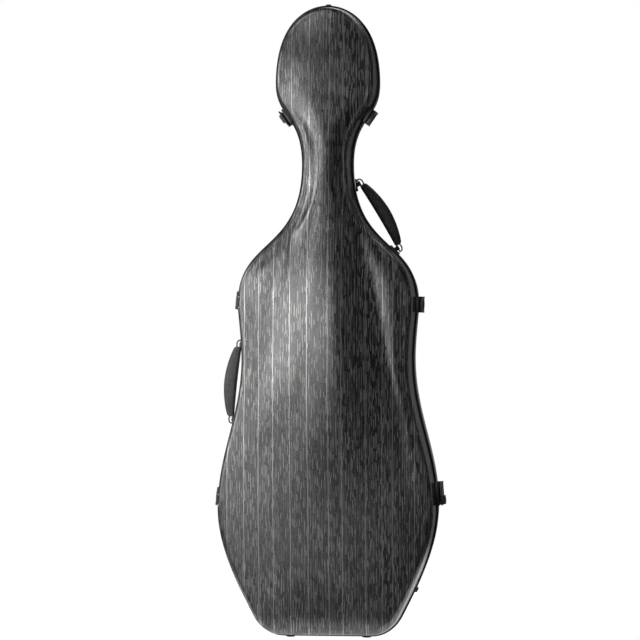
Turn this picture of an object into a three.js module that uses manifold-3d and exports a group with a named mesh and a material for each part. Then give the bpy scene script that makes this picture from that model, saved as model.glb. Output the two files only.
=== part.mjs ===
// Hard case for a full-size cello, closed and standing on its feet.
// Millimetres, +Z up. The lid faces -Y, the seam is a plane square to Y, hinges at -X, latches at +X.
import * as THREE from 'three';
import Module from 'manifold-3d';

const wasm = await Module();
wasm.setup();

// Outline of the case seen from the front: widths, and rises above the bottom of the shell.
// A rise given as a share is a share of the height of the shell
const shellHeight = 1337;
const riseOf = (share) => share * shellHeight;
const baseWidth = 190;
const cornerWidth = 318;
const cornerRise = 42;
const lowerBoutWidth = 470;
const lowerBoutRiseShare = 0.202693;
const waistWidth = 368;
const waistRiseShare = 0.439043;
const upperBoutWidth = 384;
const upperBoutRiseShare = 0.528048;
const neckWidth = 109;
const neckRiseShare = 0.747943;
const headWidth = 221;
const headRiseShare = 0.876589;
const cornerLeanShare = 0.51;
const cornerHandleShares = [0.6, 0.6];
const lowerBoutHandleShares = [0.28, 0.34];
const waistHandleShares = [0.37, 0.375];
const upperBoutHandleShares = [0.4, 0.2];
const neckHandleShares = [0.476, 0.634];
const headHandleShares = [0.607, 0.423];
const crownHandleShares = [0.812, 0.625];
const outlineSteps = [2, 3, 4, 5, 2, 7, 4, 5];

// Skins of the two halves
const lidDepth = 74;
const bodyDepth = 152;
const shellWall = 2.2;
const liningGap = 0.4;
const liningThickness = 4;
const shoulderRadius = 13;
const wallDraft = 5;
const spineLowRise = 190;
const spineHighDrop = 122;
const lidRidgeRise = 38;
const lidRidgeTop = 30;
const lidRidgeEdge = 16;
const lidLobeRise = 5;
const lidDomeRise = 15;
const bodyDomeRise = 8;
const ridgeFootShare = 0.12;
const fadeReach = 26;
const faceRowShares = [0.25, 0.5, 0.75, 1];
const shoulderAngles = [0, Math.PI / 4, Math.PI / 2];
// rise share, lid depth share, body depth share
const depthShares = [
  [0, 0.9, 0.88],
  [0.2, 1, 1],
  [0.44, 0.97, 1],
  [0.55, 0.93, 0.96],
  [0.68, 0.83, 0.72],
  [0.76, 0.77, 0.62],
  [0.87, 0.79, 0.66],
  [1, 0.74, 0.6],
];
// rise share, half width share of the lower bout, ridge share, lobe share, dome share
const reliefShares = [
  [0, 0.8, 0, 0, 0.9],
  [0.17, 0.8, 0, 0, 1],
  [0.247, 0.77, 0.24, 0.2, 1],
  [0.337, 0.69, 0.74, 0.4, 1],
  [0.42, 0.58, 1, 0.6, 1],
  [0.49, 0.5, 1, 0.6, 1],
  [0.57, 0.4, 0.9, 0.6, 1],
  [0.644, 0.3, 0.7, 0.3, 0.9],
  [0.72, 0.28, 0.4, 0, 1.1],
  [0.79, 0.28, 0.15, 0, 1.4],
  [0.87, 0.34, 0, 0, 1],
  [1, 0.34, 0, 0, 0.9],
];

// Rims and seal at the seam
const clearance = 0.3;
const seamGap = 0.15;
const rimLipThickness = 1.7;
const rimLipReach = 12;
const rimBeadWidth = 3.5;
const rimBeadReach = 1.9;
const rimWebThickness = 2;
const sealInset = 4.4;
const sealWidth = 3.6;

// Feet and bumpers
const footHeight = 4.5;
const footRadius = 10;
const footEdge = 1.5;
const footSpacing = 163;
const frontFootBack = 14;
const rearFootBack = 108;
const footRecessRadius = 3.3;
const footRecess = 2.4;
const blankDepth = 26;
const crownBumperLength = 13;
const crownBumperHeight = 5;
const crownBumperDepth = 16;
const sideBumperLength = 11;
const sideBumperHeight = 3.6;
const sideBumperDepth = 14;
const sideBumperRise = 98;
const bumperBack = 10;

// Hinges
const hingeRiseShares = [0.221391, 0.532536];
const hingeAxisOut = 3.4;
const hingeBarrelRadius = 2.4;
const hingePinRadius = 1.1;
const hingeBarrelLength = 15;
const hingeKnuckleLength = 5.8;
const hingeLeafThickness = 1.2;
const hingeLeafLength = 38;
const hingeLeafReach = 28;
const hingeLeafStart = 3.2;

// Latches
const latchRiseShares = [0.824981, 0.525804, 0.226627];
const latchLength = 34;
const lockLatchLength = 49;
const latchPlateHeight = 4.3;
const latchEdgeGap = 1.5;
const latchBodyReach = 30;
const latchPivotBack = 24;
const latchPivotOut = 8.5;
const latchPinRadius = 1.4;
const latchEarRadius = 3.6;
const latchEarWidth = 3;
const leverUnderside = 7;
const leverThickness = 3;
const leverReach = 24;
const clawOut = 5.9;
const clawReach = 18;
const clawThickness = 3;
const clawWidth = 22;
const keeperHeight = 3.4;
const keeperReach = 22;
const keeperLipOut = 4.6;
const keeperLipBack = 10;
const keeperLipThickness = 3;
const thumbLength = 18;
const thumbOut = 14;
const thumbReach = 15;
const lockBlockOut = 16.5;
const lockBlockReach = 22;
const lockBlockLength = 18;
const lockBlockDrop = 13;
const lockRadius = 6.2;
const lockDepth = 5;
const keySlotWidth = 1.4;
const keySlotLength = 7;
const keySlotDepth = 2.5;

// Handles
const waistHandleRiseShare = 0.401646;
const waistHandleSpan = 160;
const neckHandleRiseShare = 0.664921;
const neckHandleSpan = 138;
const handleBack = 38;
const handleAxisOut = 7;
const handleBarrelRadius = 3.2;
const handleBarrelLength = 9;
const handleWallBite = 8;
const handlePlateLength = 26;
const handlePlateWidth = 15;
const handlePlateHeight = 1.6;
const ringWireRadius = 1.5;
const ringHalfLength = 9;
const ringReach = 8.5;
const gripTipGap = 5.4;
const gripTipWidth = 12;
const gripTipHalfThickness = 4.8;
const gripTipInset = 1.5;
const gripBulge = 26;
const gripHalfThickness = 8.5;
const ringBarShare = 0.3;
const ringRoundnessShare = 0.7;
const ringArcSteps = 10;
const gripSwellShare = 0.8;
const gripStationShares = [0, 0.07, 0.17, 0.3, 0.43, 0.57, 0.7, 0.83, 0.93, 1];

// Fittings inside
const cradleRiseShare = 0.714286;
const cradleLength = 60;
const cradleWidth = 90;
const cradleFront = 6;
const cradleNotchWidth = 36;
const cradleNotchDepth = 30;
const strapLength = 28;
const strapThickness = 2;
const strapWidth = 62;
const shoulderPadRiseShare = 0.61855;
const shoulderPadLength = 38;
const shoulderPadInner = 46;
const shoulderPadFront = 26;
const lowerPadRises = [14, 66];
const lowerPadInner = 108;
const lowerPadFront = 26;
const tailBlockWidth = 92;
const tailBlockTop = 42;
const tailBlockFront = 24;
const endpinBack = 52;
const endpinRadius = 13;
const scrollPadDrops = [75, 19];
const scrollPadWidth = 84;
const scrollPadFront = 34;
const lidNeckPadWidth = 46;
const lidNeckPadLength = 64;
const lidNeckPadFront = 30;
const bowHolderRiseShare = 0.314136;
const bowHolderOut = 112;
const bowHolderRadius = 11;
const bowHolderFront = 52;
const bowClipLength = 40;
const bowClipWidth = 11;
const bowClipThickness = 4;
const bowClipHubRadius = 4;
const bowClipHubDepth = 5;
const bowPocketRiseShare = 0.83964;
const bowPocketOut = 24;
const bowPocketLength = 60;
const bowPocketWidth = 30;
const bowPocketFront = 34;
const bowPocketWall = 2;
const bowPocketMouthDepth = 15;

// Overrun of blanks and cuts
const overrun = 1;

// Corners nearer than this are one corner. The offset keeps rounding away from whole and half steps
const weldSize = 1e-3;
const weldOffset = 0.137;

// Halvings when a place on the outline is looked up by its rise
const halvings = 30;

// Round shapes
const roundSides = 12;
const smallSides = 8;
const tinySides = 6;

// Places that follow from the sizes above
const lowerBoutRise = riseOf(lowerBoutRiseShare);
const waistRise = riseOf(waistRiseShare);
const upperBoutRise = riseOf(upperBoutRiseShare);
const neckRise = riseOf(neckRiseShare);
const headRise = riseOf(headRiseShare);
const cradleRise = riseOf(cradleRiseShare);
const bowHolderRise = riseOf(bowHolderRiseShare);
const bowPocketRise = riseOf(bowPocketRiseShare);
const spineHighRise = shellHeight - spineHighDrop;
const blankReach = bodyDepth + lowerBoutWidth;
const skinInset = rimLipThickness + clearance;
const liningInset = skinInset + shellWall + liningGap;
const rimWebWidth = liningInset + liningThickness;
const cavityInset = rimWebWidth + clearance;
const edgeReach = rimBeadReach + rimWebThickness + clearance;
const shoulderInset = skinInset + wallDraft + shoulderRadius;
const LID = -1;
const BODY = 1;

// Materials
const finish = (color, roughness, metalness) => () =>
  new THREE.MeshStandardMaterial({ color, roughness, metalness });
const laminate = finish(0x44464a, 0.45, 0);
const blackMetal = finish(0x1a1a1c, 0.4, 0.6);
const steel = finish(0x9a9a9c, 0.3, 1);
const rimFinish = finish(0x1f2022, 0.5, 0.2);
const rubber = finish(0x141414, 0.9, 0);
const leather = finish(0x55565a, 0.7, 0);
const plush = finish(0x5a2730, 0.95, 0);
const webbing = finish(0x1c1c20, 0.9, 0);

const assembly = new THREE.Group();

function addMesh(name, geometry, material, parent = assembly) {
  const mesh = new THREE.Mesh(geometry, material());
  mesh.name = name;
  parent.add(mesh);
  return mesh;
}

// Closed solids from rows of points. Corners nearer than the weld size become one
function weld(geometry) {
  if (geometry.userData.welded) {
    return geometry;
  }
  const source = geometry.attributes.position;
  const places = new Map();
  const positions = [];
  const corners = [];
  const order = geometry.index ? geometry.index.array : source.array.keys();
  const total = geometry.index ? geometry.index.count : source.count;
  for (const i of order) {
    if (corners.length === total) {
      break;
    }
    const point = [source.getX(i), source.getY(i), source.getZ(i)];
    const key = point.map((value) => Math.round(value / weldSize + weldOffset)).join();
    if (!places.has(key)) {
      places.set(key, positions.length / 3);
      positions.push(...point);
    }
    corners.push(places.get(key));
  }
  const index = [];
  for (let i = 0; i < corners.length; i += 3) {
    const [a, b, c] = corners.slice(i, i + 3);
    if (a !== b && b !== c && c !== a) {
      index.push(a, b, c);
    }
  }
  const welded = new THREE.BufferGeometry();
  welded.setAttribute('position', new THREE.Float32BufferAttribute(positions, 3));
  welded.setIndex(index);
  welded.userData.welded = true;
  return welded;
}

function signedVolume(geometry) {
  const corner = [new THREE.Vector3(), new THREE.Vector3(), new THREE.Vector3()];
  let sum = 0;
  for (let i = 0; i < geometry.index.count; i += 3) {
    corner.forEach((point, k) => {
      point.fromBufferAttribute(geometry.attributes.position, geometry.index.getX(i + k));
    });
    sum += corner[0].dot(corner[1].cross(corner[2]));
  }
  return sum;
}

function faceOutward(geometry) {
  if (signedVolume(geometry) < 0) {
    const index = geometry.index.array;
    for (let i = 0; i < index.length; i += 3) {
      [index[i], index[i + 1]] = [index[i + 1], index[i]];
    }
  }
  return geometry;
}

// Corners of the triangles between rows. Each four-sided patch is split the same way whichever way it faces
function patches(rows, inward = false) {
  const corners = [];
  const count = rows[0].length;
  for (let r = 0; r + 1 < rows.length; r += 1) {
    const [lower, upper] = [rows[r], rows[r + 1]];
    for (let i = 0; i < count; i += 1) {
      const j = (i + 1) % count;
      const six = [lower[i], lower[j], upper[j], lower[i], upper[j], upper[i]];
      corners.push(...(inward ? six.reverse() : six));
    }
  }
  return corners;
}

function closedShape(...groups) {
  const positions = groups.flat().flatMap((point) => [point.x, point.y, point.z]);
  const geometry = new THREE.BufferGeometry();
  geometry.setAttribute('position', new THREE.Float32BufferAttribute(positions, 3));
  return faceOutward(weld(geometry));
}

const stack = (rows, closed = false) => closedShape(patches(closed ? [...rows, rows[0]] : rows));

// Joins and cuts
function toSolid(geometry) {
  const clean = weld(geometry);
  return new wasm.Manifold(new wasm.Mesh({
    numProp: 3,
    vertProperties: new Float32Array(clean.attributes.position.array),
    triVerts: new Uint32Array(clean.index.array),
  }));
}

function toGeometry(solid) {
  const mesh = solid.getMesh();
  const geometry = new THREE.BufferGeometry();
  geometry.setAttribute('position', new THREE.BufferAttribute(Float32Array.from(mesh.vertProperties), 3));
  geometry.setIndex(new THREE.BufferAttribute(Uint32Array.from(mesh.triVerts), 1));
  geometry.userData.welded = true;
  return geometry;
}

const join = (...geometries) => toGeometry(geometries.map(toSolid).reduce((sum, next) => sum.add(next)));

const cut = (geometry, ...tools) =>
  toGeometry(tools.map(toSolid).reduce((rest, tool) => rest.subtract(tool), toSolid(geometry)));

const common = (geometry, tool) => toGeometry(toSolid(geometry).intersect(toSolid(tool)));

// Box between two corners, and round bars along each axis
function block(low, high) {
  const size = high.map((value, k) => value - low[k]);
  const middle = high.map((value, k) => (value + low[k]) / 2);
  return new THREE.BoxGeometry(...size).translate(...middle);
}

function barAlongZ(radius, length, sides = smallSides) {
  return new THREE.CylinderGeometry(radius, radius, length, sides).rotateX(Math.PI / 2);
}

function barAlongX(radius, length, sides = smallSides) {
  return new THREE.CylinderGeometry(radius, radius, length, sides).rotateZ(-Math.PI / 2);
}

// Right half of the outline, from the middle of the base up to the crown: x is across, y is the rise
function makeHalfOutline() {
  const half = new THREE.Path();
  const corner = new THREE.Vector2(cornerWidth / 2, cornerRise);
  const foot = corner.x - cornerLeanShare * corner.y;
  const [flat, lean] = cornerHandleShares;
  half.moveTo(0, 0);
  half.lineTo(baseWidth / 2, 0);
  half.bezierCurveTo(
    baseWidth / 2 + flat * (foot - baseWidth / 2), 0,
    corner.x - lean * (corner.x - foot), corner.y * (1 - lean),
    corner.x, corner.y,
  );
  const lowerRun = lowerBoutRise - cornerRise;
  half.bezierCurveTo(
    corner.x + cornerLeanShare * lowerBoutHandleShares[0] * lowerRun,
    corner.y + lowerBoutHandleShares[0] * lowerRun,
    lowerBoutWidth / 2, lowerBoutRise - lowerBoutHandleShares[1] * lowerRun,
    lowerBoutWidth / 2, lowerBoutRise,
  );
  const uprights = [
    [lowerBoutWidth, lowerBoutRise, waistHandleShares],
    [waistWidth, waistRise, upperBoutHandleShares],
    [upperBoutWidth, upperBoutRise, neckHandleShares],
    [neckWidth, neckRise, headHandleShares],
    [headWidth, headRise, headHandleShares],
  ];
  for (let k = 0; k + 1 < uprights.length; k += 1) {
    const [width, rise, shares] = uprights[k];
    const [nextWidth, nextRise] = uprights[k + 1];
    const run = nextRise - rise;
    half.bezierCurveTo(
      width / 2, rise + shares[0] * run,
      nextWidth / 2, nextRise - shares[1] * run,
      nextWidth / 2, nextRise,
    );
  }
  half.bezierCurveTo(
    headWidth / 2, headRise + crownHandleShares[0] * (shellHeight - headRise),
    headWidth / 2 * (1 - crownHandleShares[1]), shellHeight,
    0, shellHeight,
  );
  return half;
}

const halfOutline = makeHalfOutline();

// Point and outward normal of the outline, at a share of one of its curves
function outlineAtShare(curve, share) {
  const point = curve.getPoint(share);
  const tangent = curve.getTangent(share);
  return { x: point.x, rise: point.y, outX: tangent.y, outZ: -tangent.x };
}

function makeOutline() {
  const right = [];
  halfOutline.curves.forEach((curve, k) => {
    for (let step = 0; step < outlineSteps[k]; step += 1) {
      right.push(outlineAtShare(curve, step / outlineSteps[k]));
    }
  });
  right[0].outX = 0;
  const crown = { x: 0, rise: shellHeight, outX: 0, outZ: 1 };
  const left = right.slice(1).reverse().map((p) => ({ x: -p.x, rise: p.rise, outX: -p.outX, outZ: p.outZ }));
  return [...right, crown, ...left];
}

const outline = makeOutline();

// Outline point at a rise, on the right (+1) or the left (-1)
function outlineAtRise(rise, hand) {
  const curve = halfOutline.curves.find((c) => c.getPoint(1).y >= rise && c.getPoint(0).y < rise);
  let low = 0;
  let high = 1;
  for (let step = 0; step < halvings; step += 1) {
    const middle = (low + high) / 2;
    if (curve.getPoint(middle).y < rise) {
      low = middle;
    } else {
      high = middle;
    }
  }
  const point = outlineAtShare(curve, low);
  return { x: hand * point.x, rise, outX: hand * point.outX, outZ: point.outZ };
}

// Smooth value down a column of a table of shares
function along(table, share, column) {
  const last = table.length - 1;
  let k = 0;
  while (k < last - 1 && table[k + 1][0] < share) {
    k += 1;
  }
  const slope = (n) => {
    const before = table[Math.max(n - 1, 0)];
    const after = table[Math.min(n + 1, last)];
    return (after[column] - before[column]) / (after[0] - before[0]);
  };
  const run = table[k + 1][0] - table[k][0];
  const t = Math.min(Math.max((share - table[k][0]) / run, 0), 1);
  const ease = t * t * (3 - 2 * t);
  const value = table[k][column] * (1 - ease) + table[k + 1][column] * ease;
  const lean = slope(k) * t * (1 - t) * (1 - t) - slope(k + 1) * t * t * (1 - t);
  return value + lean * run;
}

// Height of the relief on the face of a half, above the edge of the shoulder
function relief(side, x, rise, edge, share) {
  const dome = 1 - (1 - share) ** 2;
  if (side === BODY) {
    return bodyDomeRise * dome;
  }
  const height = rise / shellHeight;
  const half = along(reliefShares, height, 1) * lowerBoutWidth / 2;
  const across = Math.abs(x);
  const past = across - lidRidgeTop;
  const tent = 1 - (past + Math.hypot(past, lidRidgeEdge)) / 2 / (half - lidRidgeTop);
  const ridge = (tent + Math.hypot(tent, ridgeFootShare)) / 2;
  const fade = THREE.MathUtils.smoothstep(share * edge, 0, fadeReach);
  const lobePlace = THREE.MathUtils.clamp((across - half) / Math.max(edge - half, fadeReach), 0, 1);
  return fade * lidRidgeRise * along(reliefShares, height, 2) * ridge
    + lidLobeRise * along(reliefShares, height, 3) * Math.sin(Math.PI * lobePlace) ** 2
    + lidDomeRise * along(reliefShares, height, 4) * dome;
}

// Rows of a skin that lies a given inset inside the outline, from the seam to the spine
function skinRows(side, inset) {
  const sink = inset - skinInset;
  const depthAt = (rise) => {
    const share = rise / shellHeight;
    return side === LID ? lidDepth * along(depthShares, share, 1) : bodyDepth * along(depthShares, share, 2);
  };
  const rows = [];
  const ring = (place) => rows.push(outline.map(place));
  const radius = shoulderRadius - sink;
  const atWall = (p, across, reach) => {
    const x = p.x - p.outX * across;
    const rise = p.rise - p.outZ * across;
    return new THREE.Vector3(x, side * reach(depthAt(rise)), rise);
  };
  ring((p) => atWall(p, inset, () => edgeReach));
  for (const angle of shoulderAngles) {
    const across = inset + wallDraft + radius * (1 - Math.cos(angle));
    ring((p) => atWall(p, across, (depth) => depth - shoulderRadius + radius * Math.sin(angle)));
  }
  for (const share of faceRowShares) {
    ring((p) => {
      const edgeX = p.x - p.outX * shoulderInset;
      const edgeRise = p.rise - p.outZ * shoulderInset;
      const spineRise = THREE.MathUtils.clamp(p.rise, spineLowRise, spineHighRise);
      const x = edgeX * (1 - share);
      const rise = edgeRise + (spineRise - edgeRise) * share;
      const edge = Math.hypot(edgeX, spineRise - edgeRise);
      const out = depthAt(rise) - sink + relief(side, x, rise, edge, share);
      return new THREE.Vector3(x, side * out, rise);
    });
  }
  return rows;
}

// Layer between two insets, and solid filling everything inside one inset
function layer(side, inset, thickness) {
  const outer = skinRows(side, inset);
  const inner = skinRows(side, inset + thickness);
  return closedShape(patches(outer), patches(inner, true), patches([inner[0], outer[0]]));
}

const spineRow = (reach) => outline.map((p) =>
  new THREE.Vector3(0, reach, THREE.MathUtils.clamp(p.rise, spineLowRise, spineHighRise)));

const filled = (side, inset) =>
  stack([spineRow(side * edgeReach), ...skinRows(side, inset)]);

const outlineRow = (inset, reach) => outline.map((p) =>
  new THREE.Vector3(p.x - p.outX * inset, reach, p.rise - p.outZ * inset));

// Shells, rims, seal and linings
addMesh('body_shell', layer(BODY, skinInset, shellWall), laminate);
addMesh('lid_shell', layer(LID, skinInset, shellWall), laminate);
addMesh('body_lining', layer(BODY, liningInset, liningThickness), plush);
addMesh('lid_lining', layer(LID, liningInset, liningThickness), plush);

const rimSection = [
  [0, seamGap],
  [0, rimLipReach],
  [rimLipThickness, rimLipReach],
  [rimLipThickness, rimBeadReach + rimWebThickness],
  [rimWebWidth, rimBeadReach + rimWebThickness],
  [rimWebWidth, rimBeadReach],
  [rimBeadWidth, rimBeadReach],
  [rimBeadWidth, seamGap],
];
const rim = (side) => stack(rimSection.map(([inset, reach]) => outlineRow(inset, side * reach)), true);
addMesh('body_rim', rim(BODY), rimFinish);
addMesh('lid_rim', rim(LID), rimFinish);

const sealReach = rimBeadReach - clearance;
const sealSection = [
  [sealInset, -sealReach],
  [sealInset, sealReach],
  [sealInset + sealWidth, sealReach],
  [sealInset + sealWidth, -sealReach],
];
addMesh('rim_seal', stack(sealSection.map(([inset, reach]) => outlineRow(inset, reach)), true), rubber);

// Space taken by the closed case with its rims, and the spaces inside the linings
const rimBlockReach = rimLipReach + clearance;
const envelope = join(
  filled(BODY, skinInset - clearance),
  filled(LID, skinInset - clearance),
  stack([
    spineRow(-rimBlockReach),
    outlineRow(-clearance, -rimBlockReach),
    outlineRow(-clearance, rimBlockReach),
    spineRow(rimBlockReach),
  ]),
);
const cavities = {
  [BODY]: filled(BODY, cavityInset),
  [LID]: filled(LID, cavityInset),
};

// A seat is a group whose +X points out of the case and whose +Z runs along its edge
function makeSeat(x, back, rise, outX, outZ) {
  const seat = new THREE.Group();
  seat.position.set(x, back, rise);
  seat.rotation.y = Math.atan2(-outZ, outX);
  seat.updateMatrix();
  assembly.add(seat);
  return seat;
}

const edgeSeat = (rise, hand) => {
  const p = outlineAtRise(rise, hand);
  return makeSeat(p.x, 0, rise, p.outX, p.outZ);
};

// Solid of a seat with what the closed case takes cut away
function seated(geometry, seat) {
  const placed = weld(geometry).clone().applyMatrix4(seat.matrix);
  return cut(placed, envelope).applyMatrix4(seat.matrix.clone().invert());
}

// Hinges
const [lowHinge, highHinge] = hingeRiseShares.map((share) => outlineAtRise(riseOf(share), -1));
const hingeTilt = Math.atan2(highHinge.x - lowHinge.x, highHinge.rise - lowHinge.rise);

function addHinge(name, place) {
  const out = { x: -Math.cos(hingeTilt), z: Math.sin(hingeTilt) };
  const seat = makeSeat(place.x + out.x * hingeAxisOut, 0, place.rise + out.z * hingeAxisOut, out.x, out.z);
  const leafTop = clearance + hingeLeafThickness - hingeAxisOut;
  const bore = barAlongZ(hingePinRadius + clearance, hingeBarrelLength + overrun);
  const half = hingeLeafLength / 2;
  const middle = hingeBarrelLength - 2 * (hingeKnuckleLength - clearance);
  const leaf = (side, knuckles) => {
    const plate = block(
      [-blankDepth, Math.min(side * hingeLeafStart, side * hingeLeafReach), -half],
      [leafTop, Math.max(side * hingeLeafStart, side * hingeLeafReach), half],
    );
    const parts = knuckles.flatMap(([length, at]) => [
      barAlongZ(hingeBarrelRadius, length).translate(0, 0, at),
      block(
        [clearance - hingeAxisOut, Math.min(0, side * (hingeLeafStart + overrun)), at - length / 2],
        [leafTop, Math.max(0, side * (hingeLeafStart + overrun)), at + length / 2],
      ),
    ]);
    return seated(cut(join(plate, ...parts), bore), seat);
  };
  const outerLength = hingeKnuckleLength - clearance;
  const outerPlace = (hingeBarrelLength - outerLength) / 2;
  addMesh(`${name}_body_leaf`, leaf(BODY, [[outerLength, -outerPlace], [outerLength, outerPlace]]), blackMetal, seat);
  addMesh(`${name}_lid_leaf`, leaf(LID, [[middle - 2 * clearance, 0]]), blackMetal, seat);
  addMesh(`${name}_pin`, barAlongZ(hingePinRadius, hingeBarrelLength), steel, seat);
}

addHinge('lower_hinge', lowHinge);
addHinge('upper_hinge', highHinge);

// Latches
function leverShape(half, withLock) {
  const inner = half - latchEarWidth - clearance;
  const low = leverUnderside - latchPivotOut;
  const high = low + leverThickness;
  const end = -latchPivotBack - leverReach;
  const wideStart = -latchEarRadius - overrun;
  const parts = [
    block([low, end, -inner], [high, 0, inner]),
    block([low, end, -half], [high, wideStart, half]),
    barAlongZ(latchPinRadius + clearance + leverThickness / 2, 2 * inner),
    block(
      [clawOut - latchPivotOut, -latchPivotBack - clawReach, -clawWidth / 2],
      [high, -latchPivotBack - clawReach + clawThickness, clawWidth / 2],
    ),
  ];
  const bore = barAlongZ(latchPinRadius + clearance, 2 * half);
  if (!withLock) {
    const thumb = block(
      [low, end, -thumbLength / 2],
      [thumbOut - latchPivotOut, end + thumbReach, thumbLength / 2],
    );
    return cut(join(...parts, thumb), bore);
  }
  const lockMiddle = end + lockBlockReach / 2;
  const lockBlock = block(
    [low, end, -lockBlockDrop - lockBlockLength / 2],
    [lockBlockOut - latchPivotOut, end + lockBlockReach, -lockBlockDrop + lockBlockLength / 2],
  );
  const socket = barAlongX(lockRadius + clearance, 2 * (lockDepth + clearance), roundSides)
    .translate(lockBlockOut - latchPivotOut, lockMiddle, -lockBlockDrop);
  return cut(join(...parts, lockBlock), bore, socket);
}

function addLatch(name, rise, hand, length, withLock = false) {
  const seat = edgeSeat(rise, hand);
  const half = length / 2;
  const pin = barAlongZ(latchPinRadius, length).translate(latchPivotOut, latchPivotBack, 0);
  const ears = [-1, 1].flatMap((end) => {
    const middle = end * (half - latchEarWidth / 2);
    return [
      barAlongZ(latchEarRadius, latchEarWidth).translate(latchPivotOut, latchPivotBack, middle),
      block(
        [latchPlateHeight - overrun, latchPivotBack - latchEarRadius, middle - latchEarWidth / 2],
        [latchPivotOut, latchPivotBack + latchEarRadius, middle + latchEarWidth / 2],
      ),
    ];
  });
  const plate = block([-blankDepth, latchEdgeGap, -half], [latchPlateHeight, latchBodyReach, half]);
  addMesh(`${name}_base`, seated(join(plate, ...ears, pin), seat), blackMetal, seat);
  const lever = addMesh(`${name}_lever`, leverShape(half, withLock), blackMetal, seat);
  lever.position.set(latchPivotOut, latchPivotBack, 0);
  const keeperPlate = block([-blankDepth, -keeperReach, -half], [keeperHeight, -latchEdgeGap, half]);
  const lip = block(
    [0, -keeperLipBack - keeperLipThickness, -clawWidth / 2],
    [keeperLipOut, -keeperLipBack, clawWidth / 2],
  );
  addMesh(`${name}_keeper`, seated(join(keeperPlate, lip), seat), blackMetal, seat);
  return seat;
}

const [headLatchRise, upperLatchRise, lockLatchRise] = latchRiseShares.map(riseOf);
addLatch('head_right_latch', headLatchRise, 1, latchLength);
addLatch('head_left_latch', headLatchRise, -1, latchLength);
addLatch('upper_latch', upperLatchRise, 1, latchLength);
const lockSeat = addLatch('lock_latch', lockLatchRise, 1, lockLatchLength, true);

const keySlot = block(
  [-keySlotDepth, -keySlotWidth / 2, -keySlotLength / 2],
  [overrun, keySlotWidth / 2, keySlotLength / 2],
);
const lockBody = barAlongX(lockRadius, lockDepth, roundSides).translate(-lockDepth / 2, 0, 0);
const lock = addMesh('lock_cylinder', cut(lockBody, keySlot), steel, lockSeat);
lock.position.set(lockBlockOut, lockBlockReach / 2 - leverReach, -lockBlockDrop);

// D-shaped ring: a straight bar in the barrel of its mount and an arc that the grip hangs on
function ringLoop(wire) {
  const points = [];
  for (let k = 0; k <= ringArcSteps; k += 1) {
    const angle = Math.PI * (k / ringArcSteps - 1 / 2);
    points.push([ringReach * Math.abs(Math.cos(angle)) ** ringRoundnessShare, ringHalfLength * Math.sin(angle)]);
  }
  points.push([0, ringBarShare * ringHalfLength], [0, -ringBarShare * ringHalfLength]);
  const rows = [];
  for (let s = 0; s < tinySides; s += 1) {
    const turn = 2 * Math.PI * s / tinySides;
    rows.push(points.map(([x, z], k) => {
      const before = points[(k + points.length - 1) % points.length];
      const after = points[(k + 1) % points.length];
      const tangent = new THREE.Vector2(after[0] - before[0], after[1] - before[1]).normalize();
      const side = wire * Math.cos(turn);
      return new THREE.Vector3(x + tangent.y * side, wire * Math.sin(turn), z - tangent.x * side);
    }));
  }
  return stack(rows, true);
}

// Crescent of the grip: straight along the pull of the rings, swelling outward
function gripShape(length) {
  const rows = gripStationShares.map((share) => {
    const swell = Math.sin(Math.PI * share) ** gripSwellShare;
    const outer = gripTipWidth - gripTipInset + (gripBulge - gripTipWidth + gripTipInset) * swell;
    const thickness = gripTipHalfThickness + (gripHalfThickness - gripTipHalfThickness) * swell;
    const inner = -gripTipInset * (1 - swell);
    const ring = [];
    for (let s = 0; s < smallSides; s += 1) {
      const turn = 2 * Math.PI * (s + 1 / 2) / smallSides;
      const middle = (outer + inner) / 2;
      const reach = (outer - inner) / 2;
      ring.push(new THREE.Vector3(
        middle + reach * Math.cos(turn) / Math.cos(Math.PI / smallSides),
        thickness * Math.sin(turn) / Math.cos(Math.PI / smallSides),
        (share - 1 / 2) * length,
      ));
    }
    return ring;
  });
  const cap = (row) => {
    const middle = row.reduce((sum, p) => sum.add(p), new THREE.Vector3()).divideScalar(row.length);
    return row.map(() => middle);
  };
  return stack([cap(rows[0]), ...rows, cap(rows[rows.length - 1])]);
}

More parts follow.
